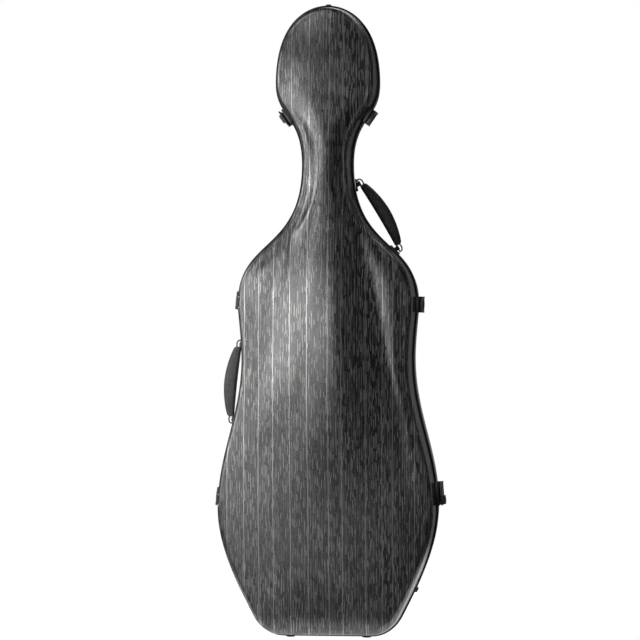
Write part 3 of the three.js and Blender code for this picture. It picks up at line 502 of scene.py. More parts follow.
def laminate_material():
    """Glass-fibre laminate with short light slubs along the case and a few long light threads."""
    g = new_material("laminate", (0.5, 0.5, 0.5), 0.28, specular=0.95)
    cloth = g.cloth()
    u, v, _ = g.split(cloth)
    u = g.add(u, g.times(g.centred(g.noise(cloth, 9.0, 1.0)), THREAD_WOBBLE))

    def slubs(width, length, half_width, seed, share):
        """Light dashes: one to a cell, each with its own place, length and strength."""
        column = g.math("DIVIDE", u, width)
        index = g.math("FLOOR", column)
        row = g.add(g.math("DIVIDE", v, length), g.times(g.white(g.add(index, seed)), LENGTHS))
        cell = g.add(g.times(index, CELL_STEP), g.times(g.math("FLOOR", row), ROW_STEP))
        place_u = g.spread(g.white(g.add(cell, seed)), 0.3, 0.4)
        start = g.times(g.white(g.add(cell, seed + 31.4)), 0.35)
        half = g.times(g.spread(g.white(g.add(cell, seed + 62.9)), 0.3, 0.4), 0.5)
        level = g.white(g.add(cell, seed + 91.7))
        off = g.apart(g.math("FRACT", column), place_u)
        past_end = g.math("SUBTRACT", g.apart(g.math("FRACT", row), g.add(start, half)), half)
        across = g.ramp(off, half_width / width, 0.6 * half_width / width)
        return g.times(across, g.ramp(past_end, 0.02, -0.05), g.ramp(level, 1 - share, 1.15 - share),
                       g.spread(level, 0.25, 0.5))

    def strands(width, length, seed, strength):
        """Strands side by side, in lengths of uneven brightness and unlike widths."""
        bend = g.math("SINE", g.add(g.times(u, 2 * math.pi / BEND_PITCH), seed))
        column = g.math("DIVIDE", g.add(u, g.times(bend, STRAND_BEND)), width)
        index = g.math("FLOOR", column)
        row = g.add(g.math("DIVIDE", v, length), g.times(g.white(g.add(index, seed)), LENGTHS))
        level = g.white(g.add(g.times(index, CELL_STEP), g.times(g.math("FLOOR", row), ROW_STEP), seed))
        off = g.apart(g.math("FRACT", column), 0.5)
        return g.times(g.ramp(level, 0.2, 1.0), g.ramp(off, 0.32, 0.2), strength)

    column = g.math("DIVIDE", g.add(u, LONG_THREAD_SHIFT), LONG_THREAD_PITCH)
    index = g.math("FLOOR", column)
    off = g.apart(g.centred(g.math("FRACT", column)), g.times(g.centred(g.white(index)), 0.5))
    breaks = g.line_noise(g.add(g.times(v, 9.0), g.times(index, 3.7)), 2.0, 0.5)
    long_thread = g.times(g.ramp(off, 0.026, 0.014), g.ramp(breaks, 0.3, 0.6, 0.8, 1.1))
    woven = g.times(g.most(*(strands(*strand) for strand in STRANDS)), STRAND_SHARE)
    light = g.most(long_thread, woven, *(slubs(*slub) for slub in SLUBS))
    weave = g.times(g.wave(u, WEAVE_PITCH), g.wave(v, WEAVE_PITCH))
    cloudy = g.ramp(g.noise(cloth, 7.0, 3.0), 0.3, 0.7, 0.82, 1.12)
    resin = g.mix(g.ramp(weave, -0.8, 0.8), RESIN_DARK, RESIN_LIGHT)
    colour = g.mix(light, resin, FIBRE_COLOUR)
    patchy = g.node("VectorMath", {0: colour, "Scale": cloudy}, operation="SCALE")[0]
    grain = g.noise(g.place(), 900.0)
    height = g.add(g.times(weave, 0.35), g.times(light, 0.9), g.times(grain, 0.5))
    return g.finish(patchy, (height, 0.3, 0.0003), Metallic=g.times(light, FIBRE_METALLIC),
                    Roughness=g.add(g.ramp(grain, 0.2, 0.8, 0.24, 0.29), g.times(light, -0.06)))


DARK_PATCH, LIGHT_PATCH = 0.8, 1.25
WORN_FROM, WORN_TO = 0.53, 0.62  # pointiness of an edge


def worn_material(name, base, edge, roughness, specular, grain=1400.0, bump=0.2):
    """Paint, plastic or rubber with fine grain, soft patches and lighter worn corners."""
    g = new_material(name, base, roughness, specular=specular)
    where = g.place()
    cloudy = g.noise(where, 60.0, 4.0, 0.6)
    fine = g.noise(where, grain)
    pointed = g.node("NewGeometry", {})["Pointiness"]
    wear = g.times(g.ramp(pointed, WORN_FROM, WORN_TO), g.ramp(cloudy, 0.4, 0.7, 0.2, 0.8))
    dark, light = [tuple(patch * c for c in base) for patch in (DARK_PATCH, LIGHT_PATCH)]
    return g.finish(g.mix(wear, g.mix(g.ramp(cloudy, 0.3, 0.7), dark, light), edge),
                    (g.add(fine, g.times(cloudy, 0.5)), bump, 0.0002),
                    Roughness=g.ramp(cloudy, 0.25, 0.75, roughness - 0.07, roughness + 0.09))


def leather_material(name, dark, light):
    """Pebbled leather: voronoi cells with creases between them; the creases are painted darker as shade."""
    g = new_material(name, light, 0.5, specular=0.4)
    where = g.place()
    cells = g.node("TexVoronoi", {"Scale": 380.0, "Vector": where}, feature="DISTANCE_TO_EDGE")
    crease_relief_and_shade = g.ramp(cells["Distance"], 0.0, 0.22)
    cloudy = g.noise(where, 70.0, 4.0)
    # colour: painted shade in the creases, times a tone from the cloudy noise that differs at random
    return g.finish(g.mix(g.times(crease_relief_and_shade, g.ramp(cloudy, 0.25, 0.75, 0.55, 1.0)), dark, light),
                    (g.add(crease_relief_and_shade, g.times(g.noise(where, 2500.0), 0.3)), 0.5, 0.0004),
                    Roughness=g.ramp(g.add(cloudy, g.times(crease_relief_and_shade, -0.2)), 0.1, 0.7, 0.62, 0.42))


def plush_material(name, dark, light, sheen):
    """Velour on foam: short pile with soft patches where it was brushed."""
    g = new_material(name, light, 0.95, specular=0.1, **{
        "Sheen Weight": 0.6, "Sheen Roughness": 0.45, "Sheen Tint": sheen})
    where = g.place()
    pile = g.noise(where, 1600.0, 3.0, 0.7)
    brushed = g.noise(where, 26.0, 4.0, 0.6)
    share = g.add(g.times(pile, 0.55), g.times(brushed, 0.6))
    return g.finish(g.mix(g.ramp(share, 0.35, 0.8), dark, light), (g.add(pile, brushed), 0.6, 0.0008))


def webbing_material(name, base, dark, light):
    """Flat woven strap: ribs across with a fine twill."""
    g = new_material(name, base, 0.8, specular=0.2)
    x, _, z = g.split(g.place())
    weave = g.times(g.wave(x, 0.0016), g.wave(g.add(z, g.times(x, 0.5)), 0.0011))
    return g.finish(g.mix(g.ramp(weave, -1.0, 1.0), dark, light), (weave, 0.6, 0.0004))


def brushed_material(name, base, dark, light):
    """Brushed steel: fine lines and small scratches."""
    g = new_material(name, base, 0.3, 1.0)
    where = g.place()
    _, y, z = g.split(where)
    lines = g.line_noise(g.times(g.add(y, g.times(z, 0.3)), 9000.0), 3.0, 0.6)
    return g.finish(g.mix(lines, dark, light), (lines, 0.15, 0.0001),
                    Roughness=g.ramp(g.add(lines, g.noise(where, 240.0, 3.0)), 0.5, 1.5, 0.22, 0.42))


LAMINATE = laminate_material()
RIM = worn_material("rim", (0.021, 0.021, 0.021), (0.09, 0.09, 0.088), 0.45, 0.4)
METAL = worn_material("black_metal", (0.012, 0.012, 0.013), (0.12, 0.12, 0.12), 0.4, 0.5)
PLASTIC = worn_material("black_plastic", (0.014, 0.014, 0.015), (0.05, 0.05, 0.05), 0.5, 0.4, 900.0, 0.3)
RUBBER = worn_material("rubber", (0.012, 0.012, 0.012), (0.035, 0.035, 0.035), 0.75, 0.25, 700.0, 0.45)
STEEL = brushed_material("steel", (0.55, 0.55, 0.56), (0.42, 0.42, 0.43), (0.62, 0.62, 0.62))
# for each leather, the first colour is mostly the painted shade in the creases
GREY_LEATHER = leather_material("grey_leather", (0.035, 0.036, 0.038), (0.095, 0.097, 0.1))
BLACK_LEATHER = leather_material("black_leather", (0.006, 0.006, 0.006), (0.016, 0.016, 0.017))
PLUSH = plush_material("plush", (0.035, 0.006, 0.010), (0.17, 0.028, 0.044), (0.62, 0.26, 0.31))
PIPING = leather_material("piping", (0.018, 0.004, 0.006), (0.06, 0.012, 0.018))
WEBBING = webbing_material("webbing", (0.03, 0.03, 0.035), (0.012, 0.012, 0.014), (0.05, 0.05, 0.055))
THREAD = worn_material("thread", (0.05, 0.05, 0.052), (0.1, 0.1, 0.1), 0.8, 0.2, 3000.0, 0.5)
FINISHES = {"black_metal": METAL, "black_plastic": PLASTIC, "rubber": RUBBER, "steel": STEEL, "plush": PLUSH,
            "webbing": WEBBING}


def finish_piece(obj, body, slot, *nodes):
    """Puts a piece on its body and in the place of its CAD nodes, which it hides. The slot is not used."""
    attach(obj, body)
    if nodes:
        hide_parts(*nodes)
    return obj


# Shells, rims, seal and linings
RIM_ROUND, SEAL_ROUND = 0.6, 1.2


def add_skins():
    for side, body in ((BODY, "body"), (LID, "lid")):
        outer = shell(f"{body}_skin", side, SKIN_INSET, SHELL_WALL, LAMINATE)
        finish_piece(outer, body, "laminate", f"{body}_shell")
        lining = shell(f"{body}_lining_cloth", side, LINING_INSET, LINING_THICKNESS, PLUSH)
        finish_piece(lining, body, "plush", f"{body}_lining")
        top = RIM_BEAD + RIM_WEB
        section = (
            (0, SEAM_GAP), (0, RIM_LIP_REACH), (RIM_LIP, RIM_LIP_REACH), (RIM_LIP, top),
            (RIM_WEB_WIDTH, top), (RIM_WEB_WIDTH, RIM_BEAD), (RIM_BEAD_WIDTH, RIM_BEAD),
            (RIM_BEAD_WIDTH, SEAM_GAP),
        )
        section = [(inset, side * reach) for inset, reach in rounded(section, RIM_ROUND)]
        finish_piece(sweep_outline(f"{body}_rim_trim", section, RIM), body, "rim", f"{body}_rim")
    reach = RIM_BEAD - CLEARANCE
    far = SEAL_INSET + SEAL_WIDTH
    section = ((SEAL_INSET, -reach), (SEAL_INSET, reach), (far, reach), (far, -reach))
    seal = sweep_outline("rim_seal_strip", rounded(section, SEAL_ROUND, 5), RUBBER, SEAL_ANGLE)
    finish_piece(seal, "body", "rubber", "rim_seal")


add_skins()


# Hardware: CAD solids with softened edges. Places and widths in mm, angles in degrees
FLAT_WITHIN, BEVEL_FROM, BEVEL_ANGLE = 1.5, 35.0, 38
# rise, hand (1 is right, -1 left), length of the base
LATCHES = {"head_right_latch": (1103, 1, 34), "head_left_latch": (1103, -1, 34),
           "upper_latch": (703, 1, 34), "lock_latch": (303, 1, 49)}
HINGES = {"lower_hinge": 296.0, "upper_hinge": 712.0}  # rise
HANDLES = {"waist_handle": ((457, 617), -1), "neck_handle": ((820, 958), 1)}  # rises of the mounts, hand
FEET = {"front_left_foot": (-81.5, 14), "front_right_foot": (81.5, 14),
        "rear_left_foot": (-81.5, 108), "rear_right_foot": (81.5, 108)}  # x, y


def cad_copy(node, name):
    mesh = NODES[node].data.copy()
    mesh.name = name
    mesh.transform(NODES[node].matrix_world)
    mesh.materials.clear()
    return mesh


def softened(node, name, body, slot, width=0.5, segments=2):
    """A copy of a CAD solid with bevelled edges, which stands for it."""
    mesh = cad_copy(node, name)
    work = bmesh.new()
    work.from_mesh(mesh)
    bmesh.ops.remove_doubles(work, verts=work.verts, dist=CAD_MERGE)
    bmesh.ops.dissolve_limit(work, angle_limit=math.radians(FLAT_WITHIN), verts=work.verts, edges=work.edges)
    limit = math.radians(BEVEL_FROM)
    sharp = [e for e in work.edges if len(e.link_faces) == 2 and e.calc_face_angle(0) > limit]
    bmesh.ops.bevel(work, geom=sharp, offset=width * MM, segments=segments, profile=0.5, affect="EDGES",
                    clamp_overlap=True)
    bmesh.ops.remove_doubles(work, verts=work.verts, dist=CAD_MERGE)
    bmesh.ops.recalc_face_normals(work, faces=work.faces)
    work.to_mesh(mesh)
    work.free()
    mesh.materials.append(FINISHES[slot])
    smooth(mesh, BEVEL_ANGLE)
    return finish_piece(link(mesh, name), body, slot, node)


def add_hardware():
    for latch in LATCHES:
        softened(f"{latch}_base", f"{latch}_plate", "body", "black_metal")
        softened(f"{latch}_keeper", f"{latch}_catch", "lid", "black_metal")
        softened(f"{latch}_lever", f"{latch}_arm", f"{latch}_lever", "black_metal", 0.6)
    for hinge in HINGES:
        for body in ("body", "lid"):
            softened(f"{hinge}_{body}_leaf", f"{hinge}_{body}_plate", body, "black_metal", 0.4)
        softened(f"{hinge}_pin", f"{hinge}_pivot", "body", "steel", 0.2)
    softened("lock_cylinder", "lock_barrel", "lock_cylinder", "steel", 0.35)
    for handle in HANDLES:
        for word in ("top", "bottom"):
            softened(f"{handle}_mount_{word}", f"{handle}_saddle_{word}", "body", "black_metal", 0.4)
    for word in ("left", "right"):
        softened(f"bow_holder_{word}", f"bow_post_{word}", "lid", "black_plastic", 0.6)
        softened(f"bow_clip_{word}", f"bow_turnclip_{word}", f"bow_clip_{word}", "black_plastic", 0.9, 3)
    for foot in FEET:
        softened(foot, f"{foot}_pad", "body", "rubber")
    for bumper in ("crown_bumper", "side_bumper_left", "side_bumper_right"):
        softened(bumper, f"{bumper}_block", "body", "rubber", 0.8, 3)


add_hardware()


# Turned and bent shapes, mm
TURN_SIDES, TURN_ANGLE, TUBE_ANGLE = 20, 40, 60
TUBE_END = 0.55  # share of the radius at the ends of a bar


def seat(x, back, rise, out_x, out_z):
    """The place of a point (way out, back, along the edge) from a spot on the edge, and the way out."""
    out = np.array((out_x, 0, out_z))
    up = np.array((-out_z, 0, out_x))
    origin = np.array((x, back, rise))
    return lambda a, b, c: origin + a * out + np.array((0, b, 0)) + c * up, out


def edge_seat(rise, hand, back=0):
    x, _, out_x, out_z = outline_at(rise, hand)
    return seat(x, back, rise, out_x, out_z)


def turned(name, profile, centre, axis, material):
    """A turned shape: (radius, height) points round an axis."""
    axis = Vector(axis).normalized()
    turn = Vector((0, 0, 1)).rotation_difference(axis).to_matrix()
    angles = [2 * math.pi * k / TURN_SIDES for k in range(TURN_SIDES)]
    rows = []
    for radius, height in profile:
        ring = [turn @ Vector((radius * math.cos(a), radius * math.sin(a), height)) for a in angles]
        rows.append(np.array(centre) + np.array(ring))
    return loft(name, rows, material, angle=TURN_ANGLE, cap=True)


def tube(name, path, radius, material, sides=10, closed=False):
    """A round bar along points, with rounded-off ends."""
    points = [np.asarray(p, float) for p in path]
    rows = []
    normal = None
    count = len(points)
    for k, point in enumerate(points):
        before = points[(k - 1) % count] if closed or k else points[0]
        after = points[(k + 1) % count] if closed or k < count - 1 else points[-1]
        tangent = after - before
        tangent /= np.linalg.norm(tangent)
        if normal is None:
            normal = np.array((0, 1, 0)) if abs(tangent[1]) < 0.9 else np.array((1, 0, 0))
        normal = normal - tangent * normal.dot(tangent)
        normal /= np.linalg.norm(normal)
        side = np.cross(tangent, normal)
        size = radius if closed or 0 < k < count - 1 else TUBE_END * radius
        rows.append(np.array([point + size * (math.cos(a) * normal + math.sin(a) * side)
                              for a in np.linspace(0, 2 * math.pi, sides, endpoint=False)]))
    return loft(name, rows, material, closed_rows=closed, angle=TUBE_ANGLE, cap=not closed)


def join_objects(name, parts):
    """One object from several, all in the shared frame."""
    work = bmesh.new()
    for part in parts:
        work.from_mesh(part.data)
    mesh = bpy.data.meshes.new(name)
    work.to_mesh(mesh)
    work.free()
    mesh.materials.append(parts[0].data.materials[0])
    for part in parts:
        bpy.data.objects.remove(part)
    smooth(mesh, TURN_ANGLE)
    return link(mesh, name)


# Small fasteners: profiles as (radius, height), mm
RIVET = ((2.6, -0.6), (2.6, 0.25), (2.3, 0.75), (1.5, 1.2), (0.6, 1.42), (0.05, 1.45))
SMALL_RIVET = tuple((0.72 * r, 0.8 * h) for r, h in RIVET)
TINY_RIVET = tuple((0.5 * r, 0.5 * h) for r, h in RIVET)
SCREW = ((2.9, -0.3), (2.9, 0.5), (2.5, 0.9), (1.1, 1.05), (0.9, 0.35), (0.05, 0.35))
SCREW_RISE = -2.3
# piece, body, profile, height over the edge, place in y
LATCH_RIVETS = (("plate", "body", RIVET, 4.3, 9), ("catch", "lid", SMALL_RIVET, 3.4, -6))
LATCH_MARGIN = 7
HINGE_OUT = (-0.994867, 0.101194)
LEAF_TOP, LEAF_REACHES, LEAF_RISES = 1.5, (9, 22), (-14, 14)
SHOULDER_RISES, RIVET_INSET, RIVET_DROP, RIVET_LEAN = (7, -16), 8.7, 6.5, (0.866, 0.5)


def add_rivets(name, body, profile, spots, slot="black_metal"):
    """One piece of equal rivets. Each spot is a place and a direction."""
    made = [turned("rivet", profile, *spot, FINISHES[slot]) for spot in spots]
    finish_piece(join_objects(name, made), body, slot)


def add_latch_rivets():
    for latch, (rise, hand, length) in LATCHES.items():
        at, out = edge_seat(rise, hand)
        reach = length / 2 - LATCH_MARGIN
        for piece, body, profile, top, back in LATCH_RIVETS:
            spots = [(at(top, back, s * reach), out) for s in (-1, 1)]
            add_rivets(f"{latch}_{piece}_rivets", body, profile, spots)


def add_hinge_rivets():
    """Rivets through the leaves, and two on the shoulder of the lid beside each hinge."""
    for hinge, rise in HINGES.items():
        at, out = seat(outline_at(rise, -1)[0], 0, rise, *HINGE_OUT)
        for side, body in ((BODY, "body"), (LID, "lid")):
            spots = [(at(LEAF_TOP, side * reach, up), out) for reach in LEAF_REACHES for up in LEAF_RISES]
            add_rivets(f"{hinge}_{body}_rivets", body, SMALL_RIVET, spots)
        spots = []
        for up in SHOULDER_RISES:
            x, z, out_x, out_z = outline_at(rise + up, -1)
            centre = (x - out_x * RIVET_INSET, RIVET_DROP - depth_at(LID, z), z - out_z * RIVET_INSET)
            spots.append((centre, (out_x * RIVET_LEAN[0], -RIVET_LEAN[1], out_z * RIVET_LEAN[0])))
        add_rivets(f"{hinge}_shoulder_rivets", "lid", SMALL_RIVET, spots, "steel")


def add_foot_screws():
    for foot, (x, y) in FEET.items():
        screw = turned(f"{foot}_screw", SCREW, (x, y, SCREW_RISE), (0, 0, -1), STEEL)
        finish_piece(screw, "body", "steel")


add_latch_rivets()
add_hinge_rivets()
add_foot_screws()


# Handles, mm
HANDLE_BACK, HANDLE_AXIS_OUT = 38.0, 7.0
GRIP_TIP_GAP, GRIP_TIP_WIDTH, GRIP_TIP_HALF, GRIP_TIP_INSET = 5.4, 12.0, 4.8, 1.5
GRIP_BULGE, GRIP_HALF, GRIP_SWELL = 26.0, 8.5, 0.8
GRIP_ROWS, GRIP_SIDES = 41, 28
WIDTH_POWER, THICKNESS_POWER = 0.55, 0.75  # of the grip's section
PIPE_RADIUS, PIPE_SINK, PIPE_SHARES = 1.5, (0.3, 0.5), np.linspace(0.012, 0.988, 60)
STITCH_INSET, STITCH_LIFT, STITCH_RADIUS = 3.2, 0.1, 0.42
STITCH_GAP, STITCH_SHARES = 0.0035, np.linspace(0.06, 0.94, 46)
RING_WIRE, RING_HALF, RING_REACH, RING_ROUND = 1.5, 9.0, 8.5, 0.7
MOUNT_TOP, MOUNT_BACKS, MOUNT_RISES = 1.6, (-4.6, 4.6), (-10, 10)


def handle_seat(handle):
    """The place of a point from the middle of a handle's axis, and the length of the axis."""
    rises, hand = HANDLES[handle]
    ends = [outline_at(r, hand) for r in rises]
    run = np.array((ends[1][0] - ends[0][0], ends[1][1] - ends[0][1]))
    length = np.linalg.norm(run)
    out = np.array((run[1], -run[0])) * hand / length
    middle = np.array(((ends[0][0] + ends[1][0]) / 2, (ends[0][1] + ends[1][1]) / 2)) + out * HANDLE_AXIS_OUT
    return seat(middle[0], HANDLE_BACK, middle[1], out[0], out[1])[0], length


def grip_edges(share):
    """Outer edge, inner edge and half thickness of a grip along its length."""
    swell = np.sin(math.pi * np.clip(share, 0, 1)) ** GRIP_SWELL
    flat = GRIP_TIP_WIDTH - GRIP_TIP_INSET
    outer = flat + (GRIP_BULGE - flat) * swell
    thick = GRIP_TIP_HALF + (GRIP_HALF - GRIP_TIP_HALF) * swell
    return outer, -GRIP_TIP_INSET * (1 - swell), thick


def add_grip(handle, face):
    """A padded crescent with piping along both edges and a row of stitches on each side."""
    at, chord = handle_seat(handle)
    length = chord - 2 * GRIP_TIP_GAP
    rows = []
    for share in 0.5 - 0.5 * np.cos(np.linspace(0, math.pi, GRIP_ROWS)):
        outer, inner, thick = grip_edges(share)
        ring = []
        for k in range(GRIP_SIDES):
            turn = 2 * math.pi * k / GRIP_SIDES
            c, s = math.cos(turn), math.sin(turn)
            a = (outer + inner) / 2 + (outer - inner) / 2 * math.copysign(abs(c) ** WIDTH_POWER, c)
            b = thick * math.copysign(abs(s) ** THICKNESS_POWER, s)
            ring.append(at(a, b, (share - 0.5) * length))
        rows.append(np.array(ring))
    grip = loft(f"{handle}_leather", rows, face, angle=TUBE_ANGLE, cap=True)
    finish_piece(grip, handle, "leather", f"{handle}_grip")
    paths = [], []
    for share in PIPE_SHARES:
        outer, inner, _ = grip_edges(share)
        for path, a in zip(paths, (outer - PIPE_SINK[0], inner + PIPE_SINK[1])):
            path.append(at(a, 0, (share - 0.5) * length))
    pipes = [tube("pipe", path, PIPE_RADIUS, BLACK_LEATHER) for path in paths]
    finish_piece(join_objects(f"{handle}_piping", pipes), handle, "leather")
    stitches = []
    for side in (-1, 1):
        for first, last in zip(STITCH_SHARES, STITCH_SHARES[1:]):
            ends = []
            for share in (first + STITCH_GAP, last - STITCH_GAP):
                outer, inner, thick = grip_edges(share)
                edge_at = outer - STITCH_INSET
                c = (edge_at - (outer + inner) / 2) / ((outer - inner) / 2)
                s = math.sqrt(max(1 - abs(c) ** (2 / WIDTH_POWER), 0)) ** THICKNESS_POWER
                ends.append(at(edge_at, side * (thick * s + STITCH_LIFT), (share - 0.5) * length))
            path = [ends[0], (ends[0] + ends[1]) / 2, ends[1]]
            stitches.append(tube("stitch", path, STITCH_RADIUS, THREAD, 6))
    finish_piece(join_objects(f"{handle}_stitching", stitches), handle, "leather")


def add_rings(handle):
    at, chord = handle_seat(handle)
    bend = [(RING_REACH * abs(math.cos(angle)) ** RING_ROUND, RING_HALF * math.sin(angle))
            for angle in np.linspace(-math.pi / 2, math.pi / 2, 25)]
    bar = [(0, share * RING_HALF) for share in np.linspace(0.8, -0.8, 9)]
    for end in (-1, 1):
        word = "top" if end == HANDLES[handle][1] else "bottom"
        points = [at(a, 0, c + end * chord / 2) for a, c in bend + bar]
        ring = tube(f"{handle}_dring_{word}", points, RING_WIRE, METAL, 12, closed=True)
        finish_piece(ring, handle, "black_metal", f"{handle}_ring_{word}")


def add_mount_rivets(handle):
    rises, hand = HANDLES[handle]
    spots = []
    for rise in rises:
        at, out = edge_seat(rise, hand, HANDLE_BACK)
        spots += [(at(MOUNT_TOP, back, up), out) for back in MOUNT_BACKS for up in MOUNT_RISES]
    add_rivets(f"{handle}_mount_rivets", "body", TINY_RIVET, spots)


add_grip("waist_handle", GREY_LEATHER)
add_grip("neck_handle", BLACK_LEATHER)
for add_part in (add_rings, add_mount_rivets):
    for handle_name in HANDLES:
        add_part(handle_name)


# Lever details, mm from the latch's spot on the edge
COLLAR_TOP, COLLAR_MIDDLE, COLLAR_RADIUS, COLLAR_WIRE = 16.5, -13, 7.4, 0.7
RIB_TOP, RIB_HALF, RIB_WIRE, RIB_PLACES = 13.95, 7, 0.6, (-22.2, -19.4, -16.6, -13.8, -11)


def add_lever_details():
    """Grip ribs on the thumb pieces, and a collar round the lock."""
    for latch, (rise, hand, _) in LATCHES.items():
        at, _ = edge_seat(rise, hand)
        if latch == "lock_latch":
            turns = np.linspace(0, 2 * math.pi, 40, endpoint=False)
            ring = [at(COLLAR_TOP, *(COLLAR_MIDDLE + COLLAR_RADIUS * np.array((math.sin(a), math.cos(a)))))
                    for a in turns]
            collar = tube("lock_collar", ring, COLLAR_WIRE, STEEL, closed=True)
            finish_piece(collar, "lock_latch_lever", "steel")
            continue
        ribs = [tube("rib", [at(RIB_TOP, y, up) for up in (-RIB_HALF, 0, RIB_HALF)], RIB_WIRE, METAL, 8)
                for y in RIB_PLACES]
        finish_piece(join_objects(f"{latch}_thumb_ribs", ribs), f"{latch}_lever", "black_metal")


add_lever_details()


# Pads inside, mm
PAD_SHRINK, PAD_VOXEL, PAD_SWELL = 1.6, 5.0, 1.5
PAD_PRESSURE, PAD_QUALITY, PAD_FRAMES = 4.0, 4, 20
BODY_PADS = ("shoulder_pad_left", "shoulder_pad_right", "lower_pad_left", "lower_pad_right",
             "tail_block", "scroll_pad", "neck_cradle")


def vertex_rows(mesh, what):
    values = np.empty(len(mesh.vertices) * 3)
    mesh.vertices.foreach_get(what, values)
    return values.reshape(-1, 3)


def apply_modifiers(obj):
    depsgraph = bpy.context.evaluated_depsgraph_get()
    mesh = bpy.data.meshes.new_from_object(obj.evaluated_get(depsgraph))
    old = obj.data
    obj.modifiers.clear()
    obj.data = mesh
    bpy.data.meshes.remove(old)


def pad_piece(node, body):
    """A foam block covered in velour: the CAD block, rounded and swelled by a short cloth run."""
    name = f"{node}_cover"
    mesh = cad_copy(node, name)
    tidy(mesh, CAD_MERGE)
    obj = link(mesh, name)
    bpy.context.view_layer.objects.active = obj
    modifier = obj.modifiers.new("remesh", "REMESH")
    modifier.mode = "VOXEL"
    modifier.voxel_size = PAD_VOXEL * MM
    apply_modifiers(obj)
    start = vertex_rows(obj.data, "co") - vertex_rows(obj.data, "normal") * PAD_SHRINK * MM
    obj.data.vertices.foreach_set("co", start.ravel())
    obj.data.update()
    cloth = obj.modifiers.new("cloth", "CLOTH")
    cloth.settings.use_pressure = True
    cloth.settings.uniform_pressure_force = PAD_PRESSURE
    cloth.settings.effector_weights.gravity = 0.0
    cloth.settings.quality = PAD_QUALITY
    for number in range(1, PAD_FRAMES + 1):
        scene.frame_set(number)
    apply_modifiers(obj)
    move = vertex_rows(obj.data, "co") - start
    far = np.linalg.norm(move, axis=1)[:, None]
    move *= np.minimum(1.0, PAD_SWELL * MM / np.maximum(far, 1e-9))
    obj.data.vertices.foreach_set("co", (start + move).ravel())
    scene.frame_set(1)
    soften = obj.modifiers.new("soften", "SMOOTH")
    soften.iterations = 3
    soften.factor = 0.5
    level = obj.modifiers.new("subdivision", "SUBSURF")
    level.levels = level.render_levels = 1
    apply_modifiers(obj)
    smooth(obj.data)
    obj.data.materials.append(PLUSH)
    finish_piece(obj, body, "plush", node)


WELT_RADIUS, WELT_ROUND, WELT_DROP, WELT_INSET = 1.3, 5.0, 1.5, 2.2
FACE_LEAN, FACE_BAND = 0.9, 8.0  # a face's least share of y in its normal, and how far back it may lie


def welt_paths(node, towards):
    """Closed paths just inside the edges of a pad's face. The face looks along y where towards is 1."""
    work = bmesh.new()
    work.from_mesh(NODES[node].data)
    bmesh.ops.transform(work, matrix=NODES[node].matrix_world, verts=work.verts)
    bmesh.ops.remove_doubles(work, verts=work.verts, dist=WELT_MERGE)
    bmesh.ops.recalc_face_normals(work, faces=work.faces)
    facing = [face for face in work.faces if face.normal.y * towards > FACE_LEAN]
    level = max(towards * face.calc_center_median().y for face in facing)
    top = {face for face in facing if towards * face.calc_center_median().y > level - FACE_BAND * MM}
    rim = {edge for edge in work.edges if sum(face in top for face in edge.link_faces) == 1}
    paths = []
    while rim:
        edge = min(rim, key=lambda one: one.index)
        start = corner = edge.verts[0]
        path = []
        while edge is not None:
            rim.discard(edge)
            sides = [face.normal for face in corner.link_faces if face not in top]
            inward = sum(sides, Vector()).normalized() if sides else Vector()
            at = np.array(corner.co) / MM - OFFSET
            path.append(at - WELT_INSET * np.array(inward) - (0, WELT_DROP * towards, 0))
            corner = edge.other_vert(corner)
            edge = next((one for one in corner.link_edges if one in rim), None)
            if corner is start:
                break
        paths.append(path)
    work.free()
    return paths


def add_welts(node, body, towards):
    for number, path in enumerate(welt_paths(node, towards)):
        welt = tube(f"{node}_welt_{number}", rounded(path, WELT_ROUND, 5), WELT_RADIUS, PIPING, closed=True)
        finish_piece(welt, body, "leather")


def add_pads():
    for node in BODY_PADS:
        pad_piece(node, "body")
        add_welts(node, "body", -1)
    pad_piece("lid_neck_pad", "lid")
    add_welts("lid_neck_pad", "lid", 1)
    for word in ("left", "right"):
        pocket = softened(f"bow_tip_pocket_{word}", f"bow_tip_pocket_{word}_cover", "lid", "plush", 0.8, 3)
    strap = softened("neck_strap", "neck_strap_web", "body", "webbing", 0.3)


add_pads()


# Floor, backdrop and lights, m
BACKDROP_SHARE = 0.96
# further to the front, the floor would show in the lid as a pale band
FLOOR_SIDE, FLOOR_FRONT, FLOOR_BACK = 0.5, -0.155, 1.0
SKY_LIGHT, MIRRORED_SHARE = 0.04, 0.3
BEHIND_FROM, BEHIND_TO = 0.88, 0.99  # a mirrored ray's share of y
# name, azimuth (0 in front, positive to the right), elevation, distance, width, height, watts, aim's rise
LAMPS = (
    ("key_left", -66, 0, 1.8, 1.1, 0.8, 14, 0.74),
    ("front_left", -21, 0, 1.8, 1.0, 0.74, 7.6, 0.77),
    ("front", 1, 0, 1.8, 0.4, 0.7, 2.8, 0.78),
    ("neck_left", -94, 17, 1.8, 0.9, 0.4, 8, 0.86),
    ("shoulder_left", -36, 12, 1.8, 0.6, 0.28, 5.2, 0.75),
    ("low_front", -14, -18, 1.8, 0.8, 0.4, 1.0, 0.36),
    ("low_left", -31, -12, 1.8, 0.5, 0.25, 1.7, 0.43),
    ("fill_head", 18, 10, 3.0, 0.5, 0.5, 0.3, 1.2),
    ("top_left", -38, 45, 2.6, 1.8, 0.9, 15, 0.9),
    ("top_right", 105, 58, 2.6, 1.4, 0.8, 6, 0.8),
    ("back_top", 165, 50, 3.2, 1.6, 1.2, 18, 0.67),
    ("back_right", 122, 8, 3.2, 1.2, 1.6, 4, 0.67),
)


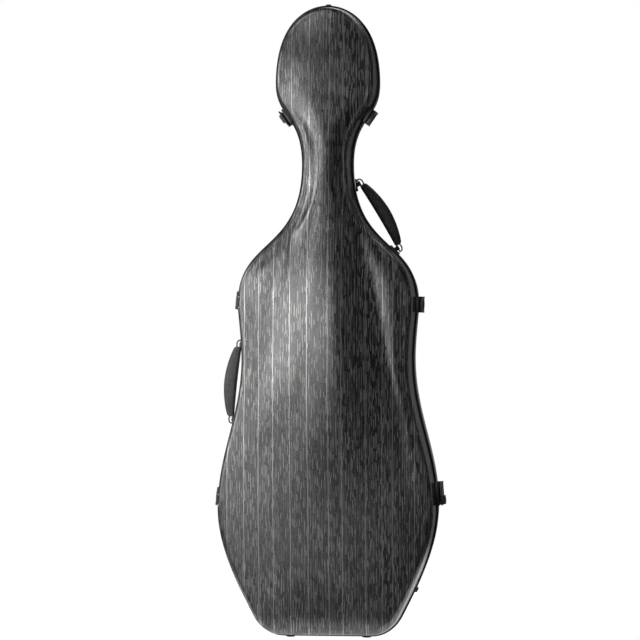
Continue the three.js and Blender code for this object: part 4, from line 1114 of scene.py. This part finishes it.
def add_floor():
    """A pale floor that shines white for the camera and in mirrors, and keeps the shadow of the case."""
    g = new_material("backdrop", (0.82, 0.82, 0.82), 0.9, specular=0.0)
    rays = g.node("LightPath", {})
    seen = g.most(rays["Is Camera Ray"], rays["Is Glossy Ray"], rays["Is Transmission Ray"])
    glow = g.node("Emission", {"Strength": g.times(seen, BACKDROP_SHARE)})[0]
    both = g.node("AddShader", {0: g.shader.outputs[0], 1: glow})[0]
    g.fill(g.nodes["Material Output"], {"Surface": both})
    mesh = bpy.data.meshes.new("floor")
    front, back = [[(x, y, 0) for x in (-FLOOR_SIDE, FLOOR_SIDE)] for y in (FLOOR_FRONT, FLOOR_BACK)]
    mesh.from_pydata(front + back[::-1], [], [(0, 1, 2, 3)])
    floor = link(mesh, "floor", g.owner)


def add_world():
    """White for the camera and through glass, and in mirrors a share of it, straight behind the case."""
    scene.world = bpy.data.worlds.new("world")
    g = Graph(scene.world)
    rays = g.node("LightPath", {})
    _, back, _ = g.split(g.node("TexCoord", {})["Generated"])
    behind = g.ramp(back, BEHIND_FROM, BEHIND_TO, 0.0, MIRRORED_SHARE, "LINEAR")
    seen = g.most(rays["Is Camera Ray"], rays["Is Transmission Ray"], g.times(rays["Is Glossy Ray"], behind))
    strength = g.ramp(seen, 0.0, 1.0, SKY_LIGHT, 1.0, "LINEAR")
    g.fill(g.nodes["Background"], {"Color": (1, 1, 1), "Strength": strength})


def area_light(name, azimuth, elevation, distance, width, height, power, aim_rise):
    a, e = math.radians(azimuth), math.radians(elevation)
    aim = Vector((0, 0, aim_rise))
    where = aim + distance * Vector((math.sin(a) * math.cos(e), -math.cos(a) * math.cos(e), math.sin(e)))
    data = bpy.data.lights.new(name, "AREA")
    data.shape = "RECTANGLE"
    data.size, data.size_y = width, height
    data.energy = power
    light = bpy.data.objects.new(name, data)
    light.location = where
    light.rotation_euler = (aim - where).to_track_quat("-Z", "Y").to_euler()
    scene.collection.objects.link(light)


add_floor()
add_world()
for lamp in LAMPS:
    area_light(*lamp)
